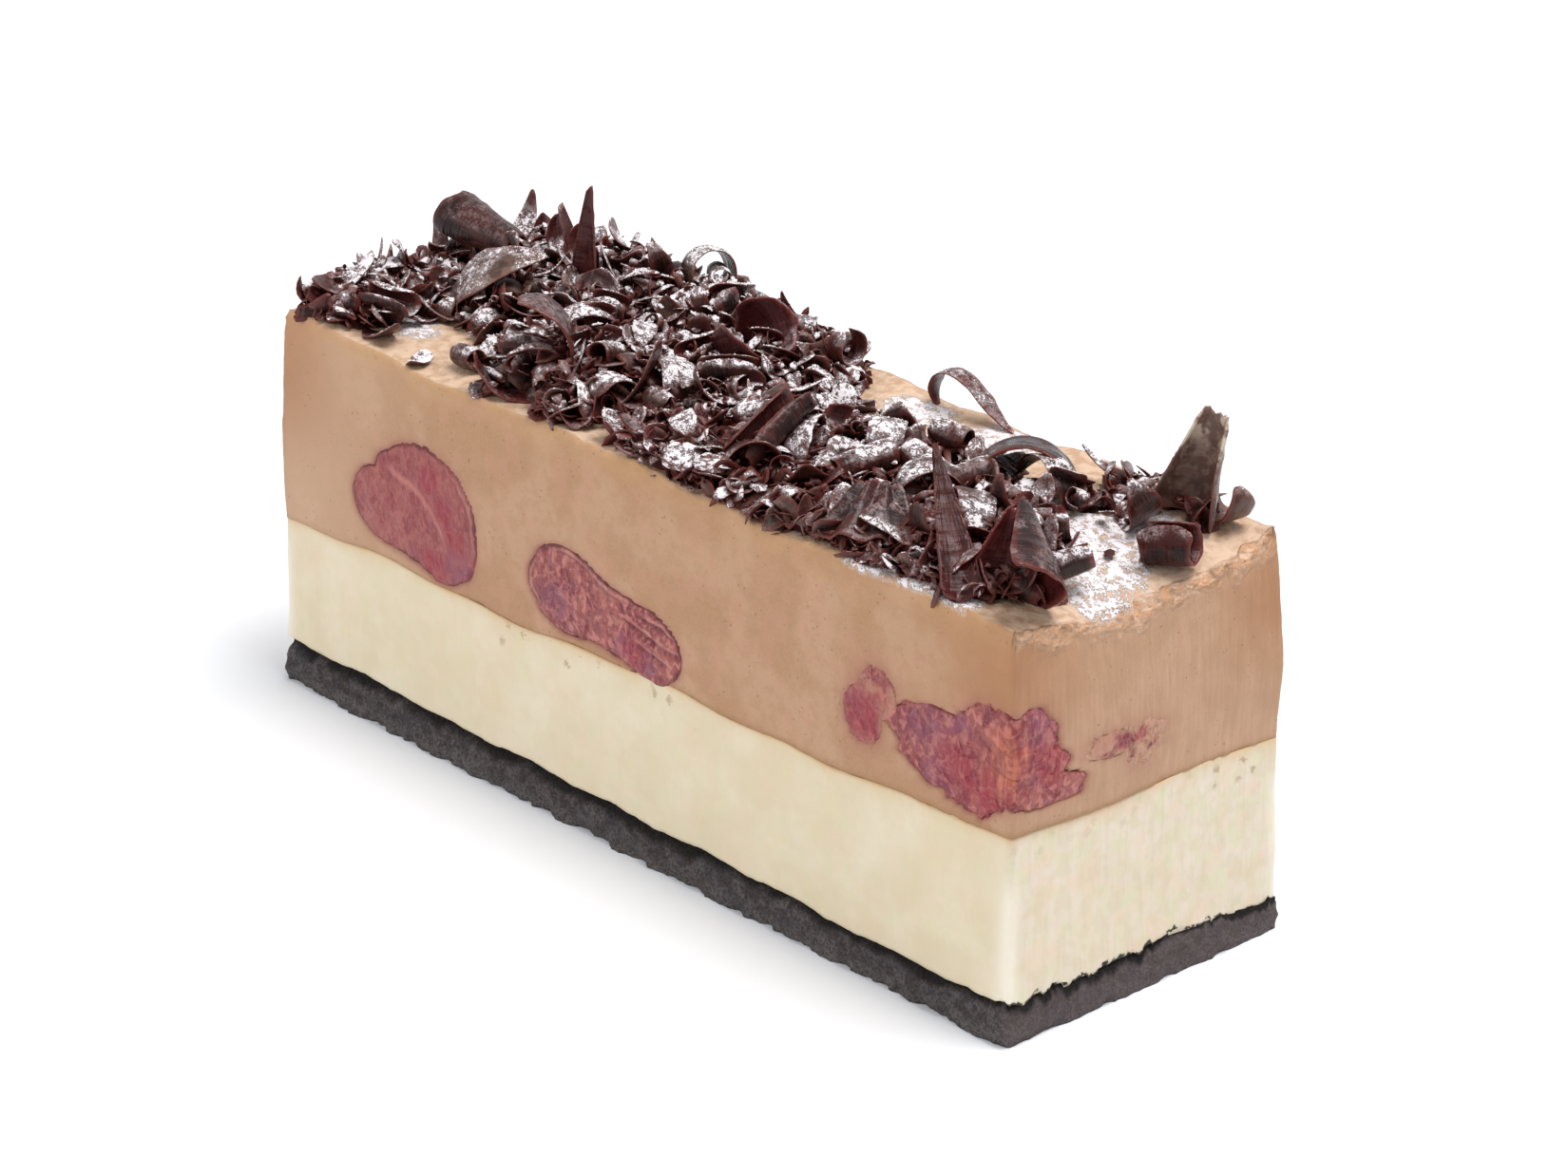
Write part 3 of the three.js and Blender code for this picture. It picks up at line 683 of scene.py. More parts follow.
CHERRY_ROOM = 1.4            # how deep the mousse is hollowed behind a cherry
RIM_PULL = 1.2               # how far in from the rim a top surface follows it


def belly(s, z):
    """The soft mousse bellies out between its edges."""
    x, y = flat_place(s)
    rise = np.clip((z - CREAM_TOP) / (MOUSSE_TOP - CREAM_TOP), 0, 1)
    swell = np.sin(np.pi * np.minimum(1, rise * 1.15)) * (1 - 0.3 * np.sin(0.2 * (x + y)))
    return swell * between(SIDE_BULGE, END_BULGE, end_share(s))


def mousse_surface(s, z):
    """How far the mousse stands out of the flat side, before cherries are let into it."""
    end = end_share(s)
    waves = 0.14 * noise(s / 8, z / 6, seed=3) + 0.05 * rough_noise(s / 1.6, z / 1.6, seed=4)
    drags = 0.06 * end * rough_noise(s / 0.7, z / 9, seed=5)
    below = below_top(s, z)
    torn = np.exp(-below / 1.2) * between(0.04, 0.5, end) * (0.5 + rough_noise(s / 1.5, z / 0.9, seed=6))
    rounding = 0.3 * smooth(1 - below / 0.9)
    return belly(s, z) + waves + drags - np.maximum(torn, 0) - rounding


def mousse_side(s, z):
    """The mousse with room for the cherries."""
    room = 0.0
    for cut in cuts:
        share, reach = cut.share(s, z)
        inside = (1 - share) * reach - 0.7 * cut.veil
        room = np.maximum(room, CHERRY_ROOM * smooth(inside / 0.9))
    return mousse_surface(s, z) - room


def cream_side(s, z):
    waves = 0.1 * noise(s / 9, z / 5, seed=11) + 0.04 * rough_noise(s / 1.8, z / 3, seed=12)
    drags = 0.05 * rough_noise(s / 0.8, z / 8, seed=13)
    return waves + drags


def crumb_side(s, z):
    """The crumbs break away under the cheesecake, stand out lower down and crumble at the foot."""
    rise = z / BASE_TOP
    lumps = 0.22 * rough_noise(s / 2.2, z / 1.8, seed=21) + 0.17 * rough_noise(s / 0.9, z / 0.7, seed=22)
    under = 0.9 * smooth((rise - 0.72) / 0.28)
    bites = noise(s / 2.8, 0.0, seed=23) + 0.7 * noise(s / 1.1, 0.0, seed=24)
    end = end_share(s)
    foot = smooth(1 - rise / 0.35) * (0.3 + (0.55 - 0.3 * end) * np.clip(bites, -0.4, 1.2))
    return 0.15 + 0.35 * smooth(1 - rise) + lumps * (1 - 0.35 * end) - under - foot


def crumb_top(x, y):
    """The crumb base's top with a ragged line where it meets the cut sides."""
    place = x + 1.7 * y
    torn = noise(place / 1.5, 0.3 * y, seed=31) + 0.7 * noise(place / 3.1, 0.2 * x, seed=32)
    teeth = np.maximum(noise(place / 0.8, 0.2 * y, seed=33), 0)
    teeth = teeth + np.maximum(noise(place / 0.45, 0.2 * y, seed=34), 0)
    on_end = smooth((np.abs(x) - LENGTH / 2 + 1.5) / 1.0)
    thinner = 1.1 * smooth((y - 2) / 18) * smooth((x - 54) / 6)
    return base_top(x, y) - thinner + 0.13 * (torn * (1 + 1.5 * on_end) + 5 * teeth * on_end)


def loop_places():
    """Evenly spaced places right round the slice, with one on each corner."""
    sides = zip(CORNERS_AT, CORNERS_AT[1:], (ALONG, ACROSS, ALONG, ACROSS))
    return np.concatenate([np.linspace(a, b, count, endpoint=False) for a, b, count in sides])


def fine_top(upper, side):
    """The points of a fine top inside its rim, which follow the rim where they are near it."""
    i, j = np.meshgrid(np.arange(1, ALONG), np.arange(1, ACROSS), indexing="ij")
    u, v = 2 * i.ravel() / ALONG - 1, 2 * j.ravel() / ACROSS - 1
    x, y = u * LENGTH / 2, v * WIDTH / 2
    z = upper(x, y)
    half_x, half_y = half_sizes(z)
    end_s = np.where(u > 0, NEAR_START + y, FAR_START - y)
    long_s = np.where(v < 0, FRONT_START + x, BACK_START - x)
    pull_x = np.sign(u) * side(end_s, z) * np.exp((np.abs(x) - LENGTH / 2) / RIM_PULL)
    pull_y = np.sign(v) * side(long_s, z) * np.exp((np.abs(y) - WIDTH / 2) / RIM_PULL)
    return x, y, np.stack([u * half_x + pull_x, v * half_y + pull_y, z], -1)


def fine_top_quads(rim, first):
    """Quads of a fine top, from the number of its rim's first point and of its first inner point."""
    index = np.zeros((ALONG + 1, ACROSS + 1), int)
    index[1:-1, 1:-1] = first + np.arange((ALONG - 1) * (ACROSS - 1)).reshape(ALONG - 1, -1)
    index[:, 0] = rim + np.arange(ALONG + 1)
    index[-1, :] = rim + ALONG + np.arange(ACROSS + 1)
    index[::-1, -1] = rim + ALONG + ACROSS + np.arange(ALONG + 1)
    index[0, ::-1] = rim + (2 * ALONG + ACROSS + np.arange(ACROSS + 1)) % (first - rim)
    return grid_quads(index).tolist()


def layer_mesh(name, lower, upper, courses, side, material, values, top_values=None):
    """A layer: fine cut sides, a fine top if top_values is given, and flat hidden faces."""
    s = loop_places()
    count = len(s)
    x, y = flat_place(s)
    z = between(lower(x, y), upper(x, y), np.linspace(0, 1, courses + 1)[:, None])
    s = np.broadcast_to(s, z.shape)
    points = side_points(s, z, side(s, z))[0].reshape(-1, 3)
    faces = loop_quads(courses + 1, count).tolist()
    faces.append(list(range(count))[::-1])
    kept = {key: value(s, z).ravel() for key, value in values.items()} | {"end": end_share(s).ravel()}
    rim = courses * count
    if top_values is None:
        faces.append(list(range(rim, rim + count)))
    else:
        x, y, top = fine_top(upper, side)
        faces += fine_top_quads(rim, len(points))
        points = np.concatenate([points, top])
        for key, value in kept.items():
            on_top = top_values[key](x, y) if key in top_values else 0.0 * x
            kept[key] = np.concatenate([value, on_top])
    return make_piece(name, points, faces, material, kept)


# The heap of shavings

MOUNDS = [
    # x, y, reach along x and y, height over the mousse
    (-53, -4, 9, 15, 5.0), (-49, 7, 13, 15, 3.6), (-37, 8, 14, 16, 6.6), (-23, 9, 15, 15, 6.4),
    (-19, -7, 14, 15, 6.0), (-6, 3, 12, 17, 5.2), (10, -6, 17, 16, 4.4), (27, -6, 17, 16, 4.0),
    (43, -5, 13, 16, 4.2), (46, 13, 8, 6.5, 2.8),
]
EDGE_FALL = 1.8              # how far in from its edge the heap reaches its full height
HEAP_INSET = 0.5
LEAST_HEIGHT = 1.0           # where the heap is lower, no loose shaving lies


def mound_height(x, y):
    height = 0.0
    for mound_x, mound_y, reach_x, reach_y, top in MOUNDS:
        away = ((x - mound_x) / reach_x) ** 2 + ((y - mound_y) / reach_y) ** 2
        height = np.maximum(height, top * np.sqrt(np.maximum(0, 1 - away)))
    return height


def heap_height(x, y):
    return mound_height(x, y) * smooth((from_edge(x, y) - HEAP_INSET) / EDGE_FALL)


# Drifts of sugar, places where the heap has sunk, clearings where few small shavings lie, and
# ground swept bare: x, y and reach
SUGAR_DRIFTS = [
    (17, 3, 4), (-21, 10, 5), (-22, -5, 4), (53, 0, 6), (57, -6, 3), (51, -18, 2), (40, 5, 5), (9, 3, 4),
    (21, 8, 5), (-8, -5, 3), (-46, -12, 3), (47, 5, 5), (-42, 16, 4), (-2, 2, 4), (38, -19, 3),
    (-56, 16, 4), (30, 0, 4), (12, 14, 4), (2, -4, 3), (-34, -1, 3), (-12, 8, 4), (24, 15, 5),
    (-31, -9, 4), (-36, 4, 3), (-15, -10, 3), (45, -18, 3), (52, 9, 4), (-14, -2, 4), (-4, -8, 3),
    (4, 6, 4), (-28, 4, 4), (10, -3, 3),
]
SUNKEN = [(-52, 8, 8), (-56, -2, 5)]
CLEARINGS = [
    (55, -2, 7), (47, 4, 5), (50, 9, 4), (40, 3, 3), (18, 12, 7), (9, 16, 7), (-37, -17, 7), (29, 4, 3),
    (36, 16, 9), (-26, -18, 5), (-19, -18, 4.5),
]
SWEPT = [(54.5, -3, 5), (51, 2.5, 4.5), (47, 3, 2.5), (-28, -17, 3.5)]


def in_places(places, x, y):
    """1 inside the listed places, falling to 0 a little beyond their reach."""
    value = 0.0
    ragged = 0.25 * rough_noise(x / 3.5, y / 3.5, seed=43, octaves=2)
    for place_x, place_y, reach in places:
        value = np.maximum(value, smooth(1.5 - np.hypot(x - place_x, y - place_y) / reach + ragged))
    return value


def sugar_fall(x, y):
    """How much sugar fell on a place of the slice."""
    light = smooth(0.86 + 1.0 * rough_noise(x / 3.5, y / 3.5, seed=41, octaves=2))
    light = light * (1 - 0.4 * smooth((-10 - y) / 5)) * (1.28 - 0.58 * smooth((x - 8) / 24))
    return np.maximum(0.9 * light, in_places(SUGAR_DRIFTS, x, y))


def bare_dust(x, y):
    """Sugar on the bare mousse: hardly any outside the drifts."""
    return 0.6 * in_places(SUGAR_DRIFTS, x, y) + 0.1


# Chocolate curls: thin sheets rolled about an axis, many at once as arrays

END_WIDTH = 0.02
TAPER_POWER = 0.7
ROLL_STEPS = 48
PLEATS = 4.5                 # waves along a pleated curl
FINE = 0.3                   # size of a face on the large curls
FINE_ROWS, FINE_COLUMNS = (14, 64), (9, 48)
COAT_AND_SHEEN_SPREAD = (0.3, 1.15)    # a thin coat, partly sugar and partly painted sheen, grows from one side of a curl to the other


def curl(at, length, width, turn, turned, taper=(0.1, 0.1), **more):
    """A curl's sizes. sugar is the share of the falling sugar that stays, and the coat is a thin pale coat
    all over, partly sugar and partly painted sheen.
    """
    sizes = {"at": at, "length": length, "width": width, "turn": turn, "turned": turned, "taper": taper,
             "tighten": 0.0, "cone": 0.0, "pleats": 0.0, "sugar": 0.7, "film": 0.05}
    return sizes | more


def stacked(curls):
    """Curls as one array for each of their sizes."""
    return {key: np.array([sizes[key] for sizes in curls], float) for key in curls[0]}


def roll_lines(curls):
    """Points along the middle of each rolled sheet, in the plane across its axis."""
    w = (np.arange(ROLL_STEPS) + 0.5) / ROLL_STEPS - 0.5
    heading = np.radians(curls["turn"])[:, None] * (w + curls["tighten"][:, None] * w * w)
    steps = np.stack([np.cos(heading), np.sin(heading)], -1)
    steps *= (curls["length"] / ROLL_STEPS)[:, None, None]
    line = np.concatenate([np.zeros_like(steps[:, :1]), np.cumsum(steps, 1)], 1)
    return line - line.mean(1, keepdims=True)


def curl_axes(turned):
    """Directions across the roll, along its axis and towards the side that it opens to."""
    heading, slope, spin = np.radians(turned.T)
    axis = np.stack([np.cos(slope) * np.cos(heading), np.cos(slope) * np.sin(heading), np.sin(slope)], -1)
    side = np.stack([np.sin(heading), -np.cos(heading), np.zeros_like(heading)], -1)
    up = np.cross(side, axis)
    c, s = np.cos(spin)[:, None], np.sin(spin)[:, None]
    return side * c + up * s, axis, up * c - side * s


def curl_points(curls, rows, columns, thickness, ragged, waves, seed):
    """Both faces of every curl: points of shape (curl, face, row, column, 3) and their values."""
    count = len(curls["length"])
    number = np.arange(count)[:, None, None] * 17.3 + seed
    u = np.linspace(0, 1, rows + 1)[None, :, None]
    v = np.linspace(-1, 1, columns + 1)[None, None, :]
    length, width, cone = (curls[key][:, None, None] for key in ("length", "width", "cone"))
    taper = curls["taper"][:, :, None, None]
    start = np.clip((u + END_WIDTH) / taper[:, 0], 0, 1) ** TAPER_POWER
    end = np.clip((1 - u + END_WIDTH) / taper[:, 1], 0, 1) ** TAPER_POWER
    torn = noise(u * length / 1.5, np.sign(v) * 3.5, number) + 0.5 * noise(u * length / 0.7, v * 0.3, number)
    reach = v * start * end * (1 + ragged * np.abs(v) ** 3 * torn)
    chip = noise(v * width / 2.2, number) + 0.4 * noise(v * width / 0.9, number + 3)
    chip = ragged * chip * 1.1 / length
    roll_u = np.clip(u + chip * ((1 - u) ** 4 - u ** 4), 0, 1)

    line = roll_lines(curls)
    place = roll_u * ROLL_STEPS
    before = np.minimum(ROLL_STEPS - 1, np.floor(place).astype(int))
    part = (place - before)[..., None]
    which = np.arange(count)[:, None, None]
    rolled = line[which, before] * (1 - part) + line[which, before + 1] * part
    flare = 1 + cone * reach
    flat = np.stack([rolled[..., 0] * flare, width / 2 * reach, rolled[..., 1] * flare], -1)
    across, axis, up = (a[:, None, None] for a in curl_axes(curls["turned"]))
    at = curls["at"][:, None, None]
    middle = at + flat[..., :1] * across + flat[..., 1:2] * axis + flat[..., 2:] * up

    rolling = np.gradient(middle, axis=1)
    crossing = np.gradient(middle, axis=2)
    normal = np.cross(rolling, crossing)
    normal /= np.maximum(np.linalg.norm(normal, axis=-1, keepdims=True), 1e-9)
    span_u, span_v = roll_u * length, reach * width / 2
    cell_v, cell_u = np.maximum(0.9, 2.5 * width / columns), np.maximum(1.1, 2.5 * length / rows)
    bent = waves * (noise(span_v / cell_v, span_u / 7, number)
                    + 0.7 * noise(span_u / cell_u, span_v / 4, number + 7))
    bent = bent + curls["pleats"][:, None, None] * np.sin(PLEATS * 2 * np.pi * roll_u)
    edge = np.minimum(np.minimum(span_u, length - span_u), (1 - np.abs(v)) * start * end * width / 2)
    thick = thickness / 2 * (0.35 + 0.65 * smooth(edge / 0.9 + 0.1))
    faces = [middle + normal * (bent + sign * thick)[..., None] for sign in (1, -1)]
    rim = 1 - smooth(edge / (0.04 * length + 0.1))
    long_axis = width > 2 * length
    grain_u, grain_v = np.where(long_axis, span_v, span_u), np.where(long_axis, span_u, span_v)
    sheet = np.stack(np.broadcast_arrays(grain_u, grain_v, number * 1.7), -1)
    points = np.stack(faces, 1)
    return points, np.stack([rim, rim], 1), np.stack([sheet, sheet], 1)


def fine_counts(length, width):
    """Rows and columns of faces for a large curl."""
    return int(np.clip(length / FINE, *FINE_ROWS)), int(np.clip(width / FINE, *FINE_COLUMNS))


def curl_faces(count, rows, columns):
    """Quads of both faces and the rim of every curl."""
    face_size = (rows + 1) * (columns + 1)
    index = np.arange(face_size).reshape(rows + 1, columns + 1)
    front = grid_quads(index)
    rim = grid_rim(index.T)
    after = np.roll(rim, -1)
    walls = np.stack([rim, after, after + face_size, rim + face_size], -1)
    quads = np.concatenate([front, front[:, ::-1] + face_size, walls])
    return (quads[None] + np.arange(count)[:, None, None] * 2 * face_size).reshape(-1, 4)


class Shaved:
    """A set of curls on their way to becoming one piece."""

    def __init__(self, name, curls, counts, sheet, seed):
        rows, columns = counts
        per_curl = 2 * (rows + 1) * (columns + 1)
        self.name = name
        self.sugar = np.repeat(curls["sugar"], per_curl)
        film = np.repeat(curls["film"], per_curl)
        film = film * np.tile(np.linspace(*COAT_AND_SHEEN_SPREAD, columns + 1), len(film) // (columns + 1))
        points, rim, grain = curl_points(curls, rows, columns, *sheet, seed)
        inner = np.zeros(rim.shape)
        inner[:, 0] = 1.0
        self.points = points.reshape(-1, 3)
        self.faces = curl_faces(len(curls["length"]), rows, columns)
        self.values = {"rim": rim.ravel(), "sheet": grain.reshape(-1, 3), "film": film,
                       "inner": inner.ravel()}

    def make(self, material, dust):
        values = self.values | {"dust": dust}
        return make_piece(self.name, self.points, self.faces.tolist(), material, values)


LARGE_CURLS = {
    "curl_half_pipe": curl((-50.3, 3.9, 53.1), 8.6, 11.5, 210, (0, -8, 165), cone=-0.35, sugar=0.22,
                           film=0.04),
    "curl_spike": curl((-33.8, 5.6, 55.2), 3.4, 11.5, 90, (90, 86, 0), cone=-0.7, sugar=0.15, film=0.04),
    "curl_leaf": curl((-41.5, -3, 50.6), 16, 6.2, 80, (-42, -26, 142), (0.45, 0.45), sugar=0.5, film=0.4),
    "curl_boat": curl((-30, 2, 50), 10, 11, 170, (10, -10, -10), (0.4, 0.4)),
    "curl_front_loop": curl((-20.5, -13, 49.3), 25, 6, 270, (-42, 0, -50), (0.1, 0.3), sugar=0.3, film=0),
    "curl_front_band": curl((-8, -10.7, 48.3), 15, 5, 80, (-60, 0, -45), (0.2, 0.3), sugar=0.6, film=0.1),
    "curl_back_loop": curl((-25.5, 16.2, 51.8), 12, 4, 260, (-20, 10, 180), film=0.2),
    "curl_spoon": curl((-6, 5, 50.5), 17, 8, 280, (5, 30, -20), (0.2, 0.2), cone=0.2, sugar=0.4, film=0),
    "curl_tube": curl((13.4, -9.2, 49.4), 9.5, 10.5, 300, (-85, -25, 0), sugar=0.2),
    "curl_back_strip": curl((15.5, 17.0, 47.4), 17, 2.2, -160, (90, 0, -17), (0.2, 0.3), tighten=-2,
                            sugar=0.45, film=0),
    "curl_arch": curl((35.1, 6, 48.3), 16.5, 6.4, 170, (-48, 10, 180), sugar=0.1, film=0),
    "curl_fan": curl((34.5, -14.4, 47.8), 12, 7, 120, (-60, -40, 180), (0.2, 0.2), cone=0.5,
                     pleats=0.45, sugar=0.4, film=0.04),
    "curl_blade": curl((45.6, -14.6, 50.4), 3, 16.5, 80, (150, 42, 0), cone=-0.75, sugar=0.12, film=0.04),
    "curl_ribbon": curl((53.0, -12.0, 48.9), 15, 10.2, 230, (138, 42, 60), (0.05, 0.05), cone=-0.72,
                        sugar=0.5, film=0),
    "curl_upright": curl((52.7, 13.4, 51.1), 8.5, 11.5, 200, (48, 75, -60), cone=-0.45, sugar=0.9, film=0.8),
    "curl_hook": curl((53.6, 15.4, 46.7), 12, 3.6, 190, (84, 0, 0), (0.2, 0.2), tighten=1, sugar=0.5,
                      film=0.3),
    "curl_quill": curl((56.4, 5.2, 45.9), 12.0, 5.4, 330, (28, 5, 0), sugar=0.4, film=0),
}

# Smaller ones at their own places. The last lies apart from the heap.
PLACED_SHAVINGS = [
    curl((-41, 8.5, 53.2), 2.6, 7.5, 60, (200, 75, 0), cone=-0.6),
    curl((-10.5, 15.2, 50.4), 6, 2.2, 40, (-2, 0, 55), (0.5, 0.6)),
    curl((1, 13, 49.6), 11, 2.2, 320, (3, 0, 0)),
    curl((-38.5, 15.5, 51.2), 8, 5, 110, (-60, 30, 30), (0.2, 0.3)),
    curl((-44.5, -15.6, 46.2), 9, 3, 50, (80, 0, 20), (0.3, 0.3)),
    curl((42.5, 12.3, 47.1), 7.5, 5, 330, (-48, 10, 0)),
    curl((51.6, 1.7, 44.4), 1.6, 1.1, 50, (40, 5, 0), (0.2, 0.3), sugar=0.0),
    curl((50.2, -1.2, 44.8), 2.4, 1.2, 70, (-20, 8, 10), (0.2, 0.3), sugar=0.2),
    curl((-36.4, -16.6, 45.35), 4.2, 2.6, 90, (30, 10, 0), (0.2, 0.3), sugar=1.0),
]

# Kinds of loose shaving: share of all, then least and most length, width, turn and taper
KINDS = [
    (0.38, (8, 13), (2.6, 5), (120, 250), (0.15, 0.4)),
    (0.27, (5, 8), (3, 5.5), (30, 90), (0.3, 0.5)),
    (0.17, (6, 9), (4, 7), (280, 330), (0.05, 0.15)),
    (0.18, (6, 10), (1.2, 2), (60, 200), (0.3, 0.5)),
]
HEAP_SEED = 20417
SPREAD = 7.6                 # distance between neighbours in a row
STRAY = 0.6                  # how far off its place a shaving may lie, as a share of that
OPEN_UPWARD = 0.45
STEEPEST = 25
LIFT = (0.5, 1.6)
CORE_SHARE = 0.72            # height of the core, as a share of the heap's


def product(a, b):
    """The product of two numbers, kept to 32 bits."""
    return a * b & BITS


def seeded(seed):
    """The same stream of random numbers from 0 to 1 that the solids are made with."""
    state = seed
    while True:
        state = state + 0x6D2B79F5 & BITS
        t = product(state ^ state >> 15, state | 1)
        t ^= t + product(t ^ t >> 7, t | 61) & BITS
        yield (t ^ t >> 14) / (BITS + 1)


def loose_shavings():
    """The scattered shavings of the heap, where its solid has them."""
    random = seeded(HEAP_SEED)

    def pick(bounds):
        return between(*bounds, next(random))

    row_step = SPREAD * math.sin(math.radians(60))
    rows, columns = int(WIDTH / row_step), int(LENGTH / SPREAD)
    shares = np.cumsum([kind[0] for kind in KINDS])
    pieces = []
    for row, column in itertools.product(range(rows), range(columns)):
        stagger = 0.75 if row % 2 else 0.25
        x = (column + stagger - columns / 2 + STRAY * (next(random) - 0.5)) * SPREAD
        y = (row + 0.5 - rows / 2 + STRAY * (next(random) - 0.5)) * row_step
        if heap_height(x, y) <= LEAST_HEIGHT:
            continue
        swept = in_places(SWEPT, x, y) > 0.5
        draw = next(random)
        kind = KINDS[min(int(np.searchsorted(shares, draw, side="right")), len(KINDS) - 1)]
        length, width, turn = (pick(bounds) for bounds in kind[1:4])
        taper = (pick(kind[4]), pick(kind[4]))
        facing = 0 if next(random) < OPEN_UPWARD else 180
        spin = facing + pick((-45, 45))
        turned = (pick((0, 360)), pick((-STEEPEST, STEEPEST)), spin)
        z = mousse_top(x, y) + CORE_SHARE * heap_height(x, y) + pick(LIFT)
        if not swept:
            at = (*kept_inside(x, y, length / 3), z)
            pieces.append(curl(at, length, width, turn, turned, taper))
    return pieces


# Kinds of small shaving: least and most length, width and taper, how steep they stand, then the
# thickness, raggedness and waves of their sheets
SMALL_KINDS = {
    "medium": ((3.6, 7.5), (1.6, 3.6), (0.05, 0.35), 22, (0.3, 0.3, 0.05)),
    "small": ((1.8, 4.4), (0.8, 2.0), (0.05, 0.4), 28, (0.24, 0.35, 0.04)),
    "slivers": ((3.0, 6.5), (0.5, 1.0), (0.1, 0.5), 34, (0.22, 0.12, 0.03)),
    "flakes": ((0.7, 2.0), (0.5, 1.4), (0.05, 0.5), 30, (0.2, 0.15, 0.02)),
}
# Sets of small shavings: kind, step between places, their range of heights as shares of the
# heap's, the least height of the heap, rows and columns of faces
SMALL_SETS = {
    "medium_shavings": ("medium", 2.8, (0.2, 0.62), 1.0, (10, 3)),
    "upper_shavings": ("medium", 3.8, (0.6, 0.86), 1.0, (12, 4)),
    "small_shavings": ("small", 2.05, (0.3, 0.86), 0.7, (8, 2)),
    "slivers": ("slivers", 3.3, (0.5, 0.9), 1.0, (8, 1)),
    "flakes": ("flakes", 1.4, (0.45, 0.95), 0.25, (3, 2)),
}
SMALL_SEED = 77
# Shards, open curls and rolls: least and most turn, and share of all
TURNS = [(8, 70), (90, 210), (280, 420)]
TURN_SHARES = (0.4, 0.35, 0.25)
OPEN_SHARE = 0.6             # share of them that lie open upward
BORDER = 3.0                 # near the edges the heap is filled right down to the mousse


def heap_places(random, step, levels, least):
    """Places all over the heap, at random heights between two shares of its height."""
    x = np.arange(-LENGTH / 2 + 1, LENGTH / 2 - 1, step)
    y = np.arange(-WIDTH / 2 + 1, WIDTH / 2 - 1, step)
    x, y = (a.ravel() for a in np.meshgrid(x, y))
    x = x + step * random.uniform(-0.5, 0.5, len(x))
    y = y + step * random.uniform(-0.5, 0.5, len(y))
    height = mound_height(x, y)
    cleared = 0.85 * in_places(CLEARINGS, x, y)
    kept = (height > least * random.uniform(0.4, 1.4, len(x))) & (random.uniform(0, 1, len(x)) > cleared)
    kept &= in_places(SWEPT, x, y) < 0.5
    x, y, height = x[kept], y[kept], height[kept]
    lowest = levels[0] * smooth(from_edge(x, y) / BORDER)
    share = random.uniform(lowest, levels[1]) * (1 - 0.6 * in_places(CLEARINGS, x, y))
    share = share * (1 - 0.45 * in_places(SUNKEN, x, y))
    return x, y, mousse_top(x, y) + height * share + 0.35


def small_shavings(kind, step, levels, least, seed):
    random = np.random.default_rng(seed)
    x, y, z = heap_places(random, step, levels, least)
    count = len(x)
    length, width, taper, steep, _ = SMALL_KINDS[kind]
    least_turn, most_turn = np.array(TURNS)[random.choice(len(TURNS), count, p=TURN_SHARES)].T
    x, y = kept_inside(x, y, length[1] / 4)
    return {
        "at": np.stack([x, y, z], -1),
        "length": random.uniform(*length, count),
        "width": random.uniform(*width, count),
        "turn": random.uniform(least_turn, most_turn),
        "tighten": random.uniform(-0.6, 0.6, count),
        "cone": random.uniform(-0.3, 0.3, count),
        "turned": np.stack([random.uniform(0, 360, count), random.normal(0, steep, count),
                            180.0 * (random.uniform(0, 1, count) > OPEN_SHARE)
                            + random.uniform(-60, 60, count)], -1),
        "taper": random.uniform(*taper, (count, 2)),
        "pleats": np.zeros(count),
        "sugar": random.uniform(0.5, 1.0, count),
        "film": 0.35 * random.uniform(0, 1, count) ** 2,
    }


LARGE_SHEET = (0.42, 0.08, 0.08)       # thickness, raggedness and waves
LOOSE_SHEET = (0.34, 0.12, 0.07)


def all_shavings():
    """Every set of curls and shavings."""
    sets = []
    for seed, (name, sizes) in enumerate(LARGE_CURLS.items()):
        counts = fine_counts(sizes["length"], sizes["width"])
        sets.append(Shaved(name + "_shaved", stacked([sizes]), counts, LARGE_SHEET, seed))
    loose = stacked(PLACED_SHAVINGS + loose_shavings())
    sets.append(Shaved("loose_shavings", loose, (20, 8), LOOSE_SHEET, 100))
    for number, (name, (kind, step, levels, least, counts)) in enumerate(SMALL_SETS.items()):
        curls = small_shavings(kind, step, levels, least, SMALL_SEED + number)
        sets.append(Shaved(name, curls, counts, SMALL_KINDS[kind][-1], 200 + 100 * number))
    return sets


CORE_DEPTH = 1.5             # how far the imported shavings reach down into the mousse
CORE_INSET = 1.2
CORE_COLUMNS, CORE_ROWS = 180, 60


def heap_core():
    """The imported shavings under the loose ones: points, quads and the outline of its underside."""
    u = np.linspace(-1, 1, CORE_COLUMNS + 1)
    v = np.linspace(-1, 1, CORE_ROWS + 1)
    x, y = np.meshgrid(u * (TOP_X - CORE_INSET), v * (TOP_Y - CORE_INSET), indexing="ij")
    lumps = rough_noise(x / 2.2, y / 2.2, seed=51) * 0.7
    height = np.maximum(heap_height(x, y) - 1.4, -1.0) * (1 - in_places(CLEARINGS, x, y))
    z = mousse_top(x, y) - 0.6 + height * 0.6 + lumps * smooth(height)
    points = np.stack([x, y, z], -1).reshape(-1, 3)
    index = np.arange(len(points)).reshape(x.shape)
    rim = grid_rim(index)
    foot = len(points) + np.arange(len(rim))
    points = np.concatenate([points, points[rim] - (0, 0, CORE_DEPTH)])
    walls = np.stack([rim, foot, np.roll(foot, -1), np.roll(rim, -1)], -1)
    return points, np.concatenate([grid_quads(index), walls]), foot[::-1]


# Sugar falls straight down on whatever it meets first


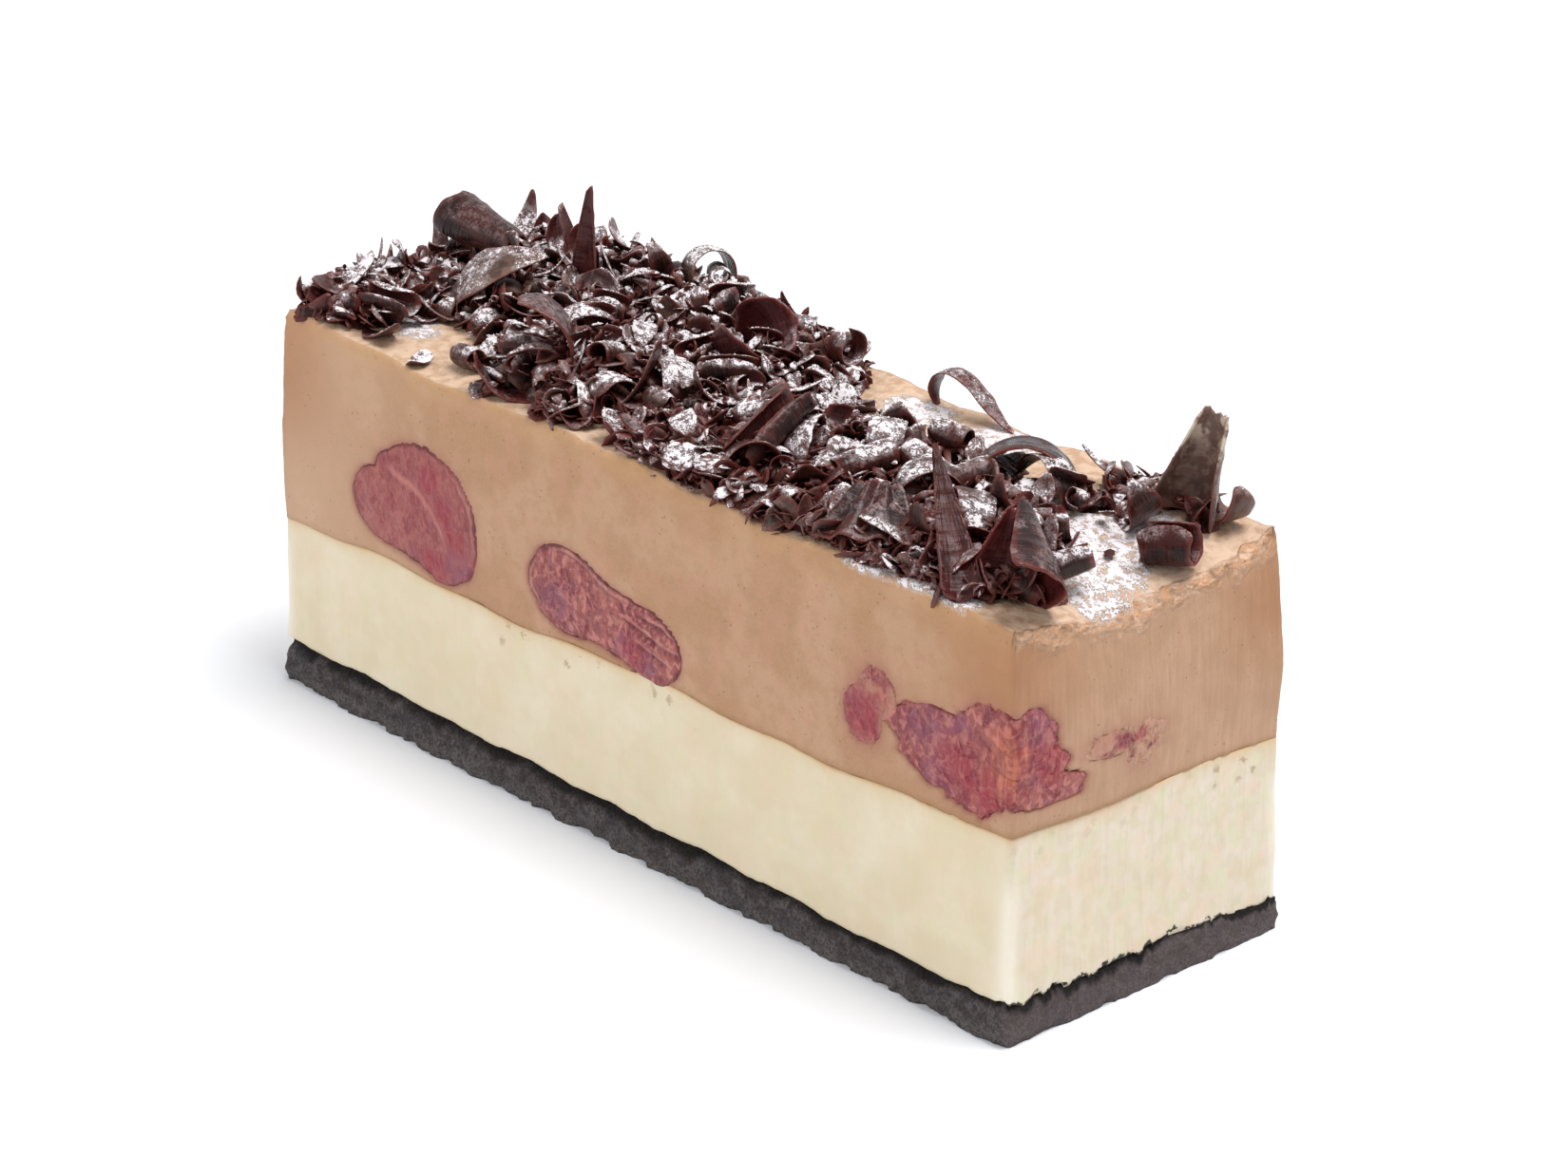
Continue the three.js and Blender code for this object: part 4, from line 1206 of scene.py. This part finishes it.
SLANTS = [(0, 0, 1), (0.5, 0, 1), (-0.5, 0, 1), (0, 0.5, 1), (0, -0.5, 1)]
SKY_REACH = 30               # how far up a shaving still keeps sugar off a place
CLEAR_OF_SURFACE = 0.06
MOST_SUGAR = 0.72            # keeps small gaps in the drifts
CORE_SUGAR = 0.9             # share of the sugar that stays on the heap's core
GRAIN_COUNT = 6000
GRAIN_SEED = 9
GRAIN_SIZE = (0.05, 0.13)


def open_to_sky(points, normals, tree):
    """For each point, the share of falling directions that nothing lies above."""
    lifted = (points + normals * CLEAR_OF_SURFACE) * MM
    reached = np.zeros(len(points))
    directions = [Vector(slant).normalized() for slant in SLANTS]
    for i in np.flatnonzero(normals[:, 2] > -0.1):
        start = Vector(lifted[i])
        reached[i] = sum(tree.ray_cast(start, d, SKY_REACH * MM)[0] is None for d in directions)
    return reached / len(SLANTS)


def point_normals(points, quads):
    a, b, c, d = (points[quads[:, k]] for k in range(4))
    facing = np.cross(c - a, d - b)
    normals = np.zeros_like(points)
    for k in range(4):
        np.add.at(normals, quads[:, k], facing)
    return normals / np.maximum(np.linalg.norm(normals, axis=1, keepdims=True), 1e-9)


def dust_on(points, quads):
    tree = BVHTree.FromPolygons((points * MM).tolist(), quads.tolist())
    normals = point_normals(points, quads)
    sky = open_to_sky(points, normals, tree)
    facing = smooth((normals[:, 2] - 0.1) / 0.7)
    return np.minimum(1.1 * sky * facing * sugar_fall(points[:, 0], points[:, 1]), MOST_SUGAR)


def sugar_grains(points, quads, dust):
    """Tiny eight-sided grains where most sugar lies."""
    random = np.random.default_rng(GRAIN_SEED)
    weight = np.maximum(dust[quads].min(1) - 0.3, 0)
    chosen = random.choice(len(quads), GRAIN_COUNT, p=weight / weight.sum())
    shares = random.dirichlet((1, 1, 1, 1), GRAIN_COUNT)[..., None]
    middles = (points[quads[chosen]] * shares).sum(1)
    unit = np.array([(1, 0, 0), (0, 1, 0), (-1, 0, 0), (0, -1, 0), (0, 0, 1), (0, 0, -1)], float)
    size = random.uniform(*GRAIN_SIZE, (GRAIN_COUNT, 1, 1))
    grains = middles[:, None] + unit * size * random.uniform(0.7, 1.3, (GRAIN_COUNT, 6, 3))
    sides = np.array([(0, 1, 4), (1, 2, 4), (2, 3, 4), (3, 0, 4),
                      (1, 0, 5), (2, 1, 5), (3, 2, 5), (0, 3, 5)])
    faces = (sides[None] + np.arange(GRAIN_COUNT)[:, None, None] * 6).reshape(-1, 3)
    return grains.reshape(-1, 3), faces


# Making the pieces


# A thin thread of juice between the small and the corner cherry
THREAD_X, THREAD_Z = 44.6, 31.9
THREAD_REACH, THREAD_RISE, THREAD_WIDTH = 2.2, 0.12, 0.35


def make_mousse():
    def stain(s, z):
        near = 0.0
        for cut in cuts:
            share, reach = cut.share(s, z)
            outside = (share - 1) * reach
            fade = 0.5 + 0.9 * cut.veil
            near = np.maximum(near, (0.6 - 0.3 * cut.veil) * np.exp(-np.maximum(outside, 0) / fade))
        along = s - FRONT_START - THREAD_X
        off = np.hypot(np.maximum(np.abs(along) - THREAD_REACH, 0), z - THREAD_Z - THREAD_RISE * along)
        return np.maximum(near, 0.7 * peak(off, THREAD_WIDTH))

    def seam(s, z):
        darker = smooth((s - FRONT_START + 5) / 20) * smooth((LENGTH + WIDTH - s) / 5)
        return between(0.25, 0.6, darker) * peak(below_cream(s, z), 0.45)

    def corner(s, z):
        return 0.7 * peak(from_corner(s), 9.0) * smooth((z - 26) / 12)

    # The torn top edge. mousse_finish paints it partly as a painted highlight, with painted shade in its
    # cracks.
    def torn(s, z):
        depth = between(0.6, 2.6, end_share(s))
        ragged = 0.4 * rough_noise(s / 1.8, z / 1.2, seed=63)
        return smooth(1.05 - below_top(s, z) / depth + ragged) * between(0.15, 1.0, end_share(s))

    def paler(s, z):
        return 0.55 * smooth((FRONT_START - 28 - s) / 30) * (1 - end_share(s))

    def warm(s, z):
        return 0.6 * np.exp(-below_top(s, z) / 2.2) * (1 - end_share(s))

    def dust(s, z):
        return bare_dust(*flat_place(s)) * smooth(1 - below_top(s, z) / 1.2)

    def upper(x, y):
        end = smooth((np.abs(x) - LENGTH / 2 + 3) / 2)
        return mousse_top(x, y) + (0.13 + 0.14 * end) * rough_noise(x / 2.2, y / 2.2, seed=71)

    values = {"stain": stain, "seam": seam, "corner": corner, "warm": warm, "paler": paler,
              "torn": torn, "dust": dust, "top": lambda s, z: 0.5 * torn(s, z)}
    top_values = {"dust": bare_dust, "top": lambda x, y: 1.0 + 0.0 * x}
    piece = layer_mesh("mousse", cream_top, upper, MOUSSE_COURSES, mousse_side, mousse_finish(), values,
                       top_values)
    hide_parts("mousse_layer")


def make_cheesecake():
    def seam(s, z):
        return np.exp(-below_cream(s, z) / 0.6) * (0.7 + 0.3 * noise(s / 3, z, seed=61))

    def specks(s, z):
        where = peak(s - FRONT_START + 12, 14) + 0.3 * end_share(s)
        where = where + 0.7 * smooth((noise(s / 9, z / 4, seed=62) - 0.4) / 0.2)
        return np.minimum(where, 1) * smooth(2.0 - np.abs(below_cream(s, z) - 1.8))

    def low(s, z):
        above = z - crumb_top(*flat_place(s))
        return np.exp(-np.maximum(above - 0.2, 0) / 0.4) * between(0.2, 0.9, end_share(s))

    # Where the painted highlight runs down the near corner, fading out towards the top.
    def corner(s, z):
        return 0.8 * peak(from_corner(s), 1.3) * smooth((CREAM_TOP - 1 - z) / 5)

    values = {"seam": seam, "specks": specks, "low": low, "corner": corner}
    piece = layer_mesh("cheesecake", crumb_top, cream_top, CREAM_COURSES, cream_side,
                       cheesecake_finish(), values)
    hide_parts("cheesecake_layer")


def make_crumb():
    # Where the painted shadow lies along the top of the base, under the cheesecake.
    def under(s, z):
        below = crumb_top(*flat_place(s)) - z
        reach = between(0.85, 1.2, smooth((FRONT_START + 30 - s) / 30) * (1 - end_share(s)))
        reach = reach - 0.5 * smooth((s - NEAR_START + 4) / 14) * (s < LENGTH + WIDTH + 1)
        return 0.95 * smooth(1.6 - below / reach + 0.4 * noise(s / 2.2, 0.0, seed=64))

    # Where the lower base gets its painted light.
    def foot(s, z):
        return smooth(1.1 - z / 2.6) * (0.7 + 0.3 * noise(s / 4, z, seed=65))

    values = {"under": under, "foot": foot}
    piece = layer_mesh("crumb", lambda x, y: 0.0 * x, crumb_top, CRUMB_COURSES, crumb_side,
                       crumb_finish(), values)
    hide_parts("crumb_base")


CHERRY_RINGS = np.concatenate([np.linspace(0.03, 0.9, 28), np.linspace(0.92, 1.0, 6)])
WALL_DEPTHS = (0.6, 1.6)     # how far the rows of a cherry's hidden wall lie behind its edge


def cherry_relief(cut, s, z, inside):
    """How far the flesh stands out of the mousse, and its values at each point."""
    seed = sum(map(ord, cut.name))
    ds, dz = s - cut.s, z - cut.z
    dome = 0.14 * smooth(inside / 3) - between(0.16, 0.2, cut.veil) * (1 - smooth(inside / 0.5))
    fibres = 0.07 * rough_noise(s / 0.8, z / 2.0, seed=seed)
    hidden = cut.veil * (0.5 + 0.8 * rough_noise(s / 1.7, z / 1.7, seed=seed + 1)
                         + 0.7 * smooth(1 - inside / 1.2))
    hidden = hidden * (1 - 0.9 * spots(cut.bare, ds, dz))
    # The ridge value marks where a painted highlight runs along a ridge. The split value marks a slit that
    # is painted dark as painted shade.
    ridge, split = np.zeros_like(s), np.zeros_like(s)
    for line in cut.ridges:
        off, on = along_line(line, ds, dz)
        ridge += 0.7 * on * peak(off, 0.4)
        dome = dome - 0.15 * on * peak(off - 0.6, 0.45)
    for line in cut.splits:
        off, on = along_line(line, ds, dz)
        split += 0.75 * on * peak(off, 0.18)
        ridge += 0.7 * on * peak(off - 0.45, 0.22)
        dome = dome - 0.2 * on * peak(off, 0.3)
    values = {"ridge": ridge, "split": split, "veil": smooth(hidden * 1.3)}
    values.update({key: value + 0 * s for key, value in cut.even.items()})
    values.update({key: spots(places, ds, dz) for key, places in cut.spots.items()})
    return dome + fibres * (1 - cut.veil), values


def make_cherries():
    finish = cherry_finish()
    ring = CHERRY_RINGS[:, None]
    rows = len(CHERRY_RINGS) + len(WALL_DEPTHS)
    faces = loop_quads(rows, CUT_ANGLES)[:, ::-1].tolist()
    faces.append(list(range(CUT_ANGLES)))
    faces.append(list(range((rows - 1) * CUT_ANGLES, rows * CUT_ANGLES))[::-1])
    for cut in cuts:
        s = cut.s + ring * cut.reach * np.cos(cut.angles)
        z = cut.z + ring * cut.reach * np.sin(cut.angles)
        inside = (1 - ring) * cut.reach
        relief, values = cherry_relief(cut, s, z, inside)
        out = mousse_surface(s, z) + relief
        front = side_points(s, z, out)[0]
        walls = [side_points(s[-1], z[-1], out[-1] - depth)[0][None] for depth in WALL_DEPTHS]
        points = np.concatenate([front, *walls]).reshape(-1, 3)
        values = {key: np.concatenate([value, np.repeat(value[-1:], len(WALL_DEPTHS), 0)]).ravel()
                  for key, value in values.items()}
        values["rim"] = np.concatenate([inside, np.zeros((len(WALL_DEPTHS), CUT_ANGLES))]).ravel()
        piece = make_piece(cut.name + "_flesh", points, faces, finish, values)
        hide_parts(cut.name)


def make_topping():
    chocolate = chocolate_finish()
    sets = all_shavings()
    core_points, core_quads, underside = heap_core()
    starts = np.cumsum([0] + [len(shaved.points) for shaved in sets])
    points = np.concatenate([shaved.points for shaved in sets] + [core_points])
    quads = np.concatenate([shaved.faces + start for shaved, start in zip(sets, starts)]
                           + [core_quads + starts[-1]])
    held = np.concatenate([shaved.sugar for shaved in sets] + [np.full(len(core_points), CORE_SUGAR)])
    dust = dust_on(points, quads) * held
    for shaved, start in zip(sets, starts):
        piece = shaved.make(chocolate, dust[start:start + len(shaved.points)])
        if shaved.name.endswith("_shaved"):
            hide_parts(shaved.name.removesuffix("_shaved"))
    none = np.zeros(len(core_points))
    values = {"rim": none, "film": none, "inner": none, "dust": dust[starts[-1]:],
              "sheet": core_points * (1, 0.6, 1)}
    faces = core_quads.tolist() + [underside.tolist()]
    core = make_piece("shavings_core", core_points, faces, chocolate, values)
    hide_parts("shavings_heap")
    grains, faces = sugar_grains(points, quads, dust)
    make_piece("sugar_grains", grains, faces.tolist(), sugar_finish())


make_mousse()
make_cheesecake()
make_crumb()
make_cherries()
make_topping()

# Floor, lights and camera


FLOOR_SIZE = 4.0             # metres
LIGHTS_AIM = Vector((0, 0, 0.03))
KEY_POWER, FILL_POWER = 4.7, 1.5
SKY_STRENGTH = 0.63

CAMERA_TARGET = Vector((1.754, 3.173, 24.511)) * MM
CAMERA_AZIMUTH = math.radians(48.13)
CAMERA_ELEVATION = math.radians(23.03)
CAMERA_DISTANCE = 473.35 * MM
FOCAL_LENGTH = 100
SENSOR_WIDTH = 36


def make_floor():
    bpy.ops.mesh.primitive_plane_add(size=FLOOR_SIZE, location=(0, 0, 0))
    floor = bpy.context.object
    floor.name = "floor"
    made = Finish("floor", Specular_IOR_Level=0.0)
    made.ground(made.noise(200.0), (247, 249, 255), (249, 251, 255))
    floor.data.materials.append(made.finish(1.0))


def area_light(name, place, size, power):
    light = bpy.data.lights.new(name, "AREA")
    light.shape = "RECTANGLE"
    light.size, light.size_y = size
    light.energy = power
    lamp = bpy.data.objects.new(name, light)
    lamp.location = place
    lamp.rotation_euler = (Vector(place) - LIGHTS_AIM).to_track_quat("Z", "Y").to_euler()
    bpy.context.scene.collection.objects.link(lamp)


def make_lights():
    world = bpy.context.scene.world or bpy.data.worlds.new("studio")
    bpy.context.scene.world = world
    world.use_nodes = True
    background = world.node_tree.nodes["Background"]
    background.inputs["Color"].default_value = (1.0, 1.0, 1.0, 1.0)
    background.inputs["Strength"].default_value = SKY_STRENGTH
    area_light("key", (0.2, 0.14, 0.7), (0.5, 0.35), KEY_POWER)
    area_light("fill", (-0.25, -0.7, 0.35), (0.5, 0.4), FILL_POWER)


def make_camera():
    lens = bpy.data.cameras.new("camera")
    lens.lens = FOCAL_LENGTH
    lens.sensor_width = SENSOR_WIDTH
    lens.clip_start = 0.01
    camera = bpy.data.objects.new("camera", lens)
    back = Vector((math.sin(CAMERA_AZIMUTH) * math.cos(CAMERA_ELEVATION),
                   -math.cos(CAMERA_AZIMUTH) * math.cos(CAMERA_ELEVATION),
                   math.sin(CAMERA_ELEVATION)))
    camera.location = CAMERA_TARGET + CAMERA_DISTANCE * back
    camera.rotation_euler = back.to_track_quat("Z", "Y").to_euler()
    bpy.context.scene.collection.objects.link(camera)
    bpy.context.scene.camera = camera


make_floor()
make_lights()
make_camera()
bpy.context.scene.view_settings.view_transform = "Standard"
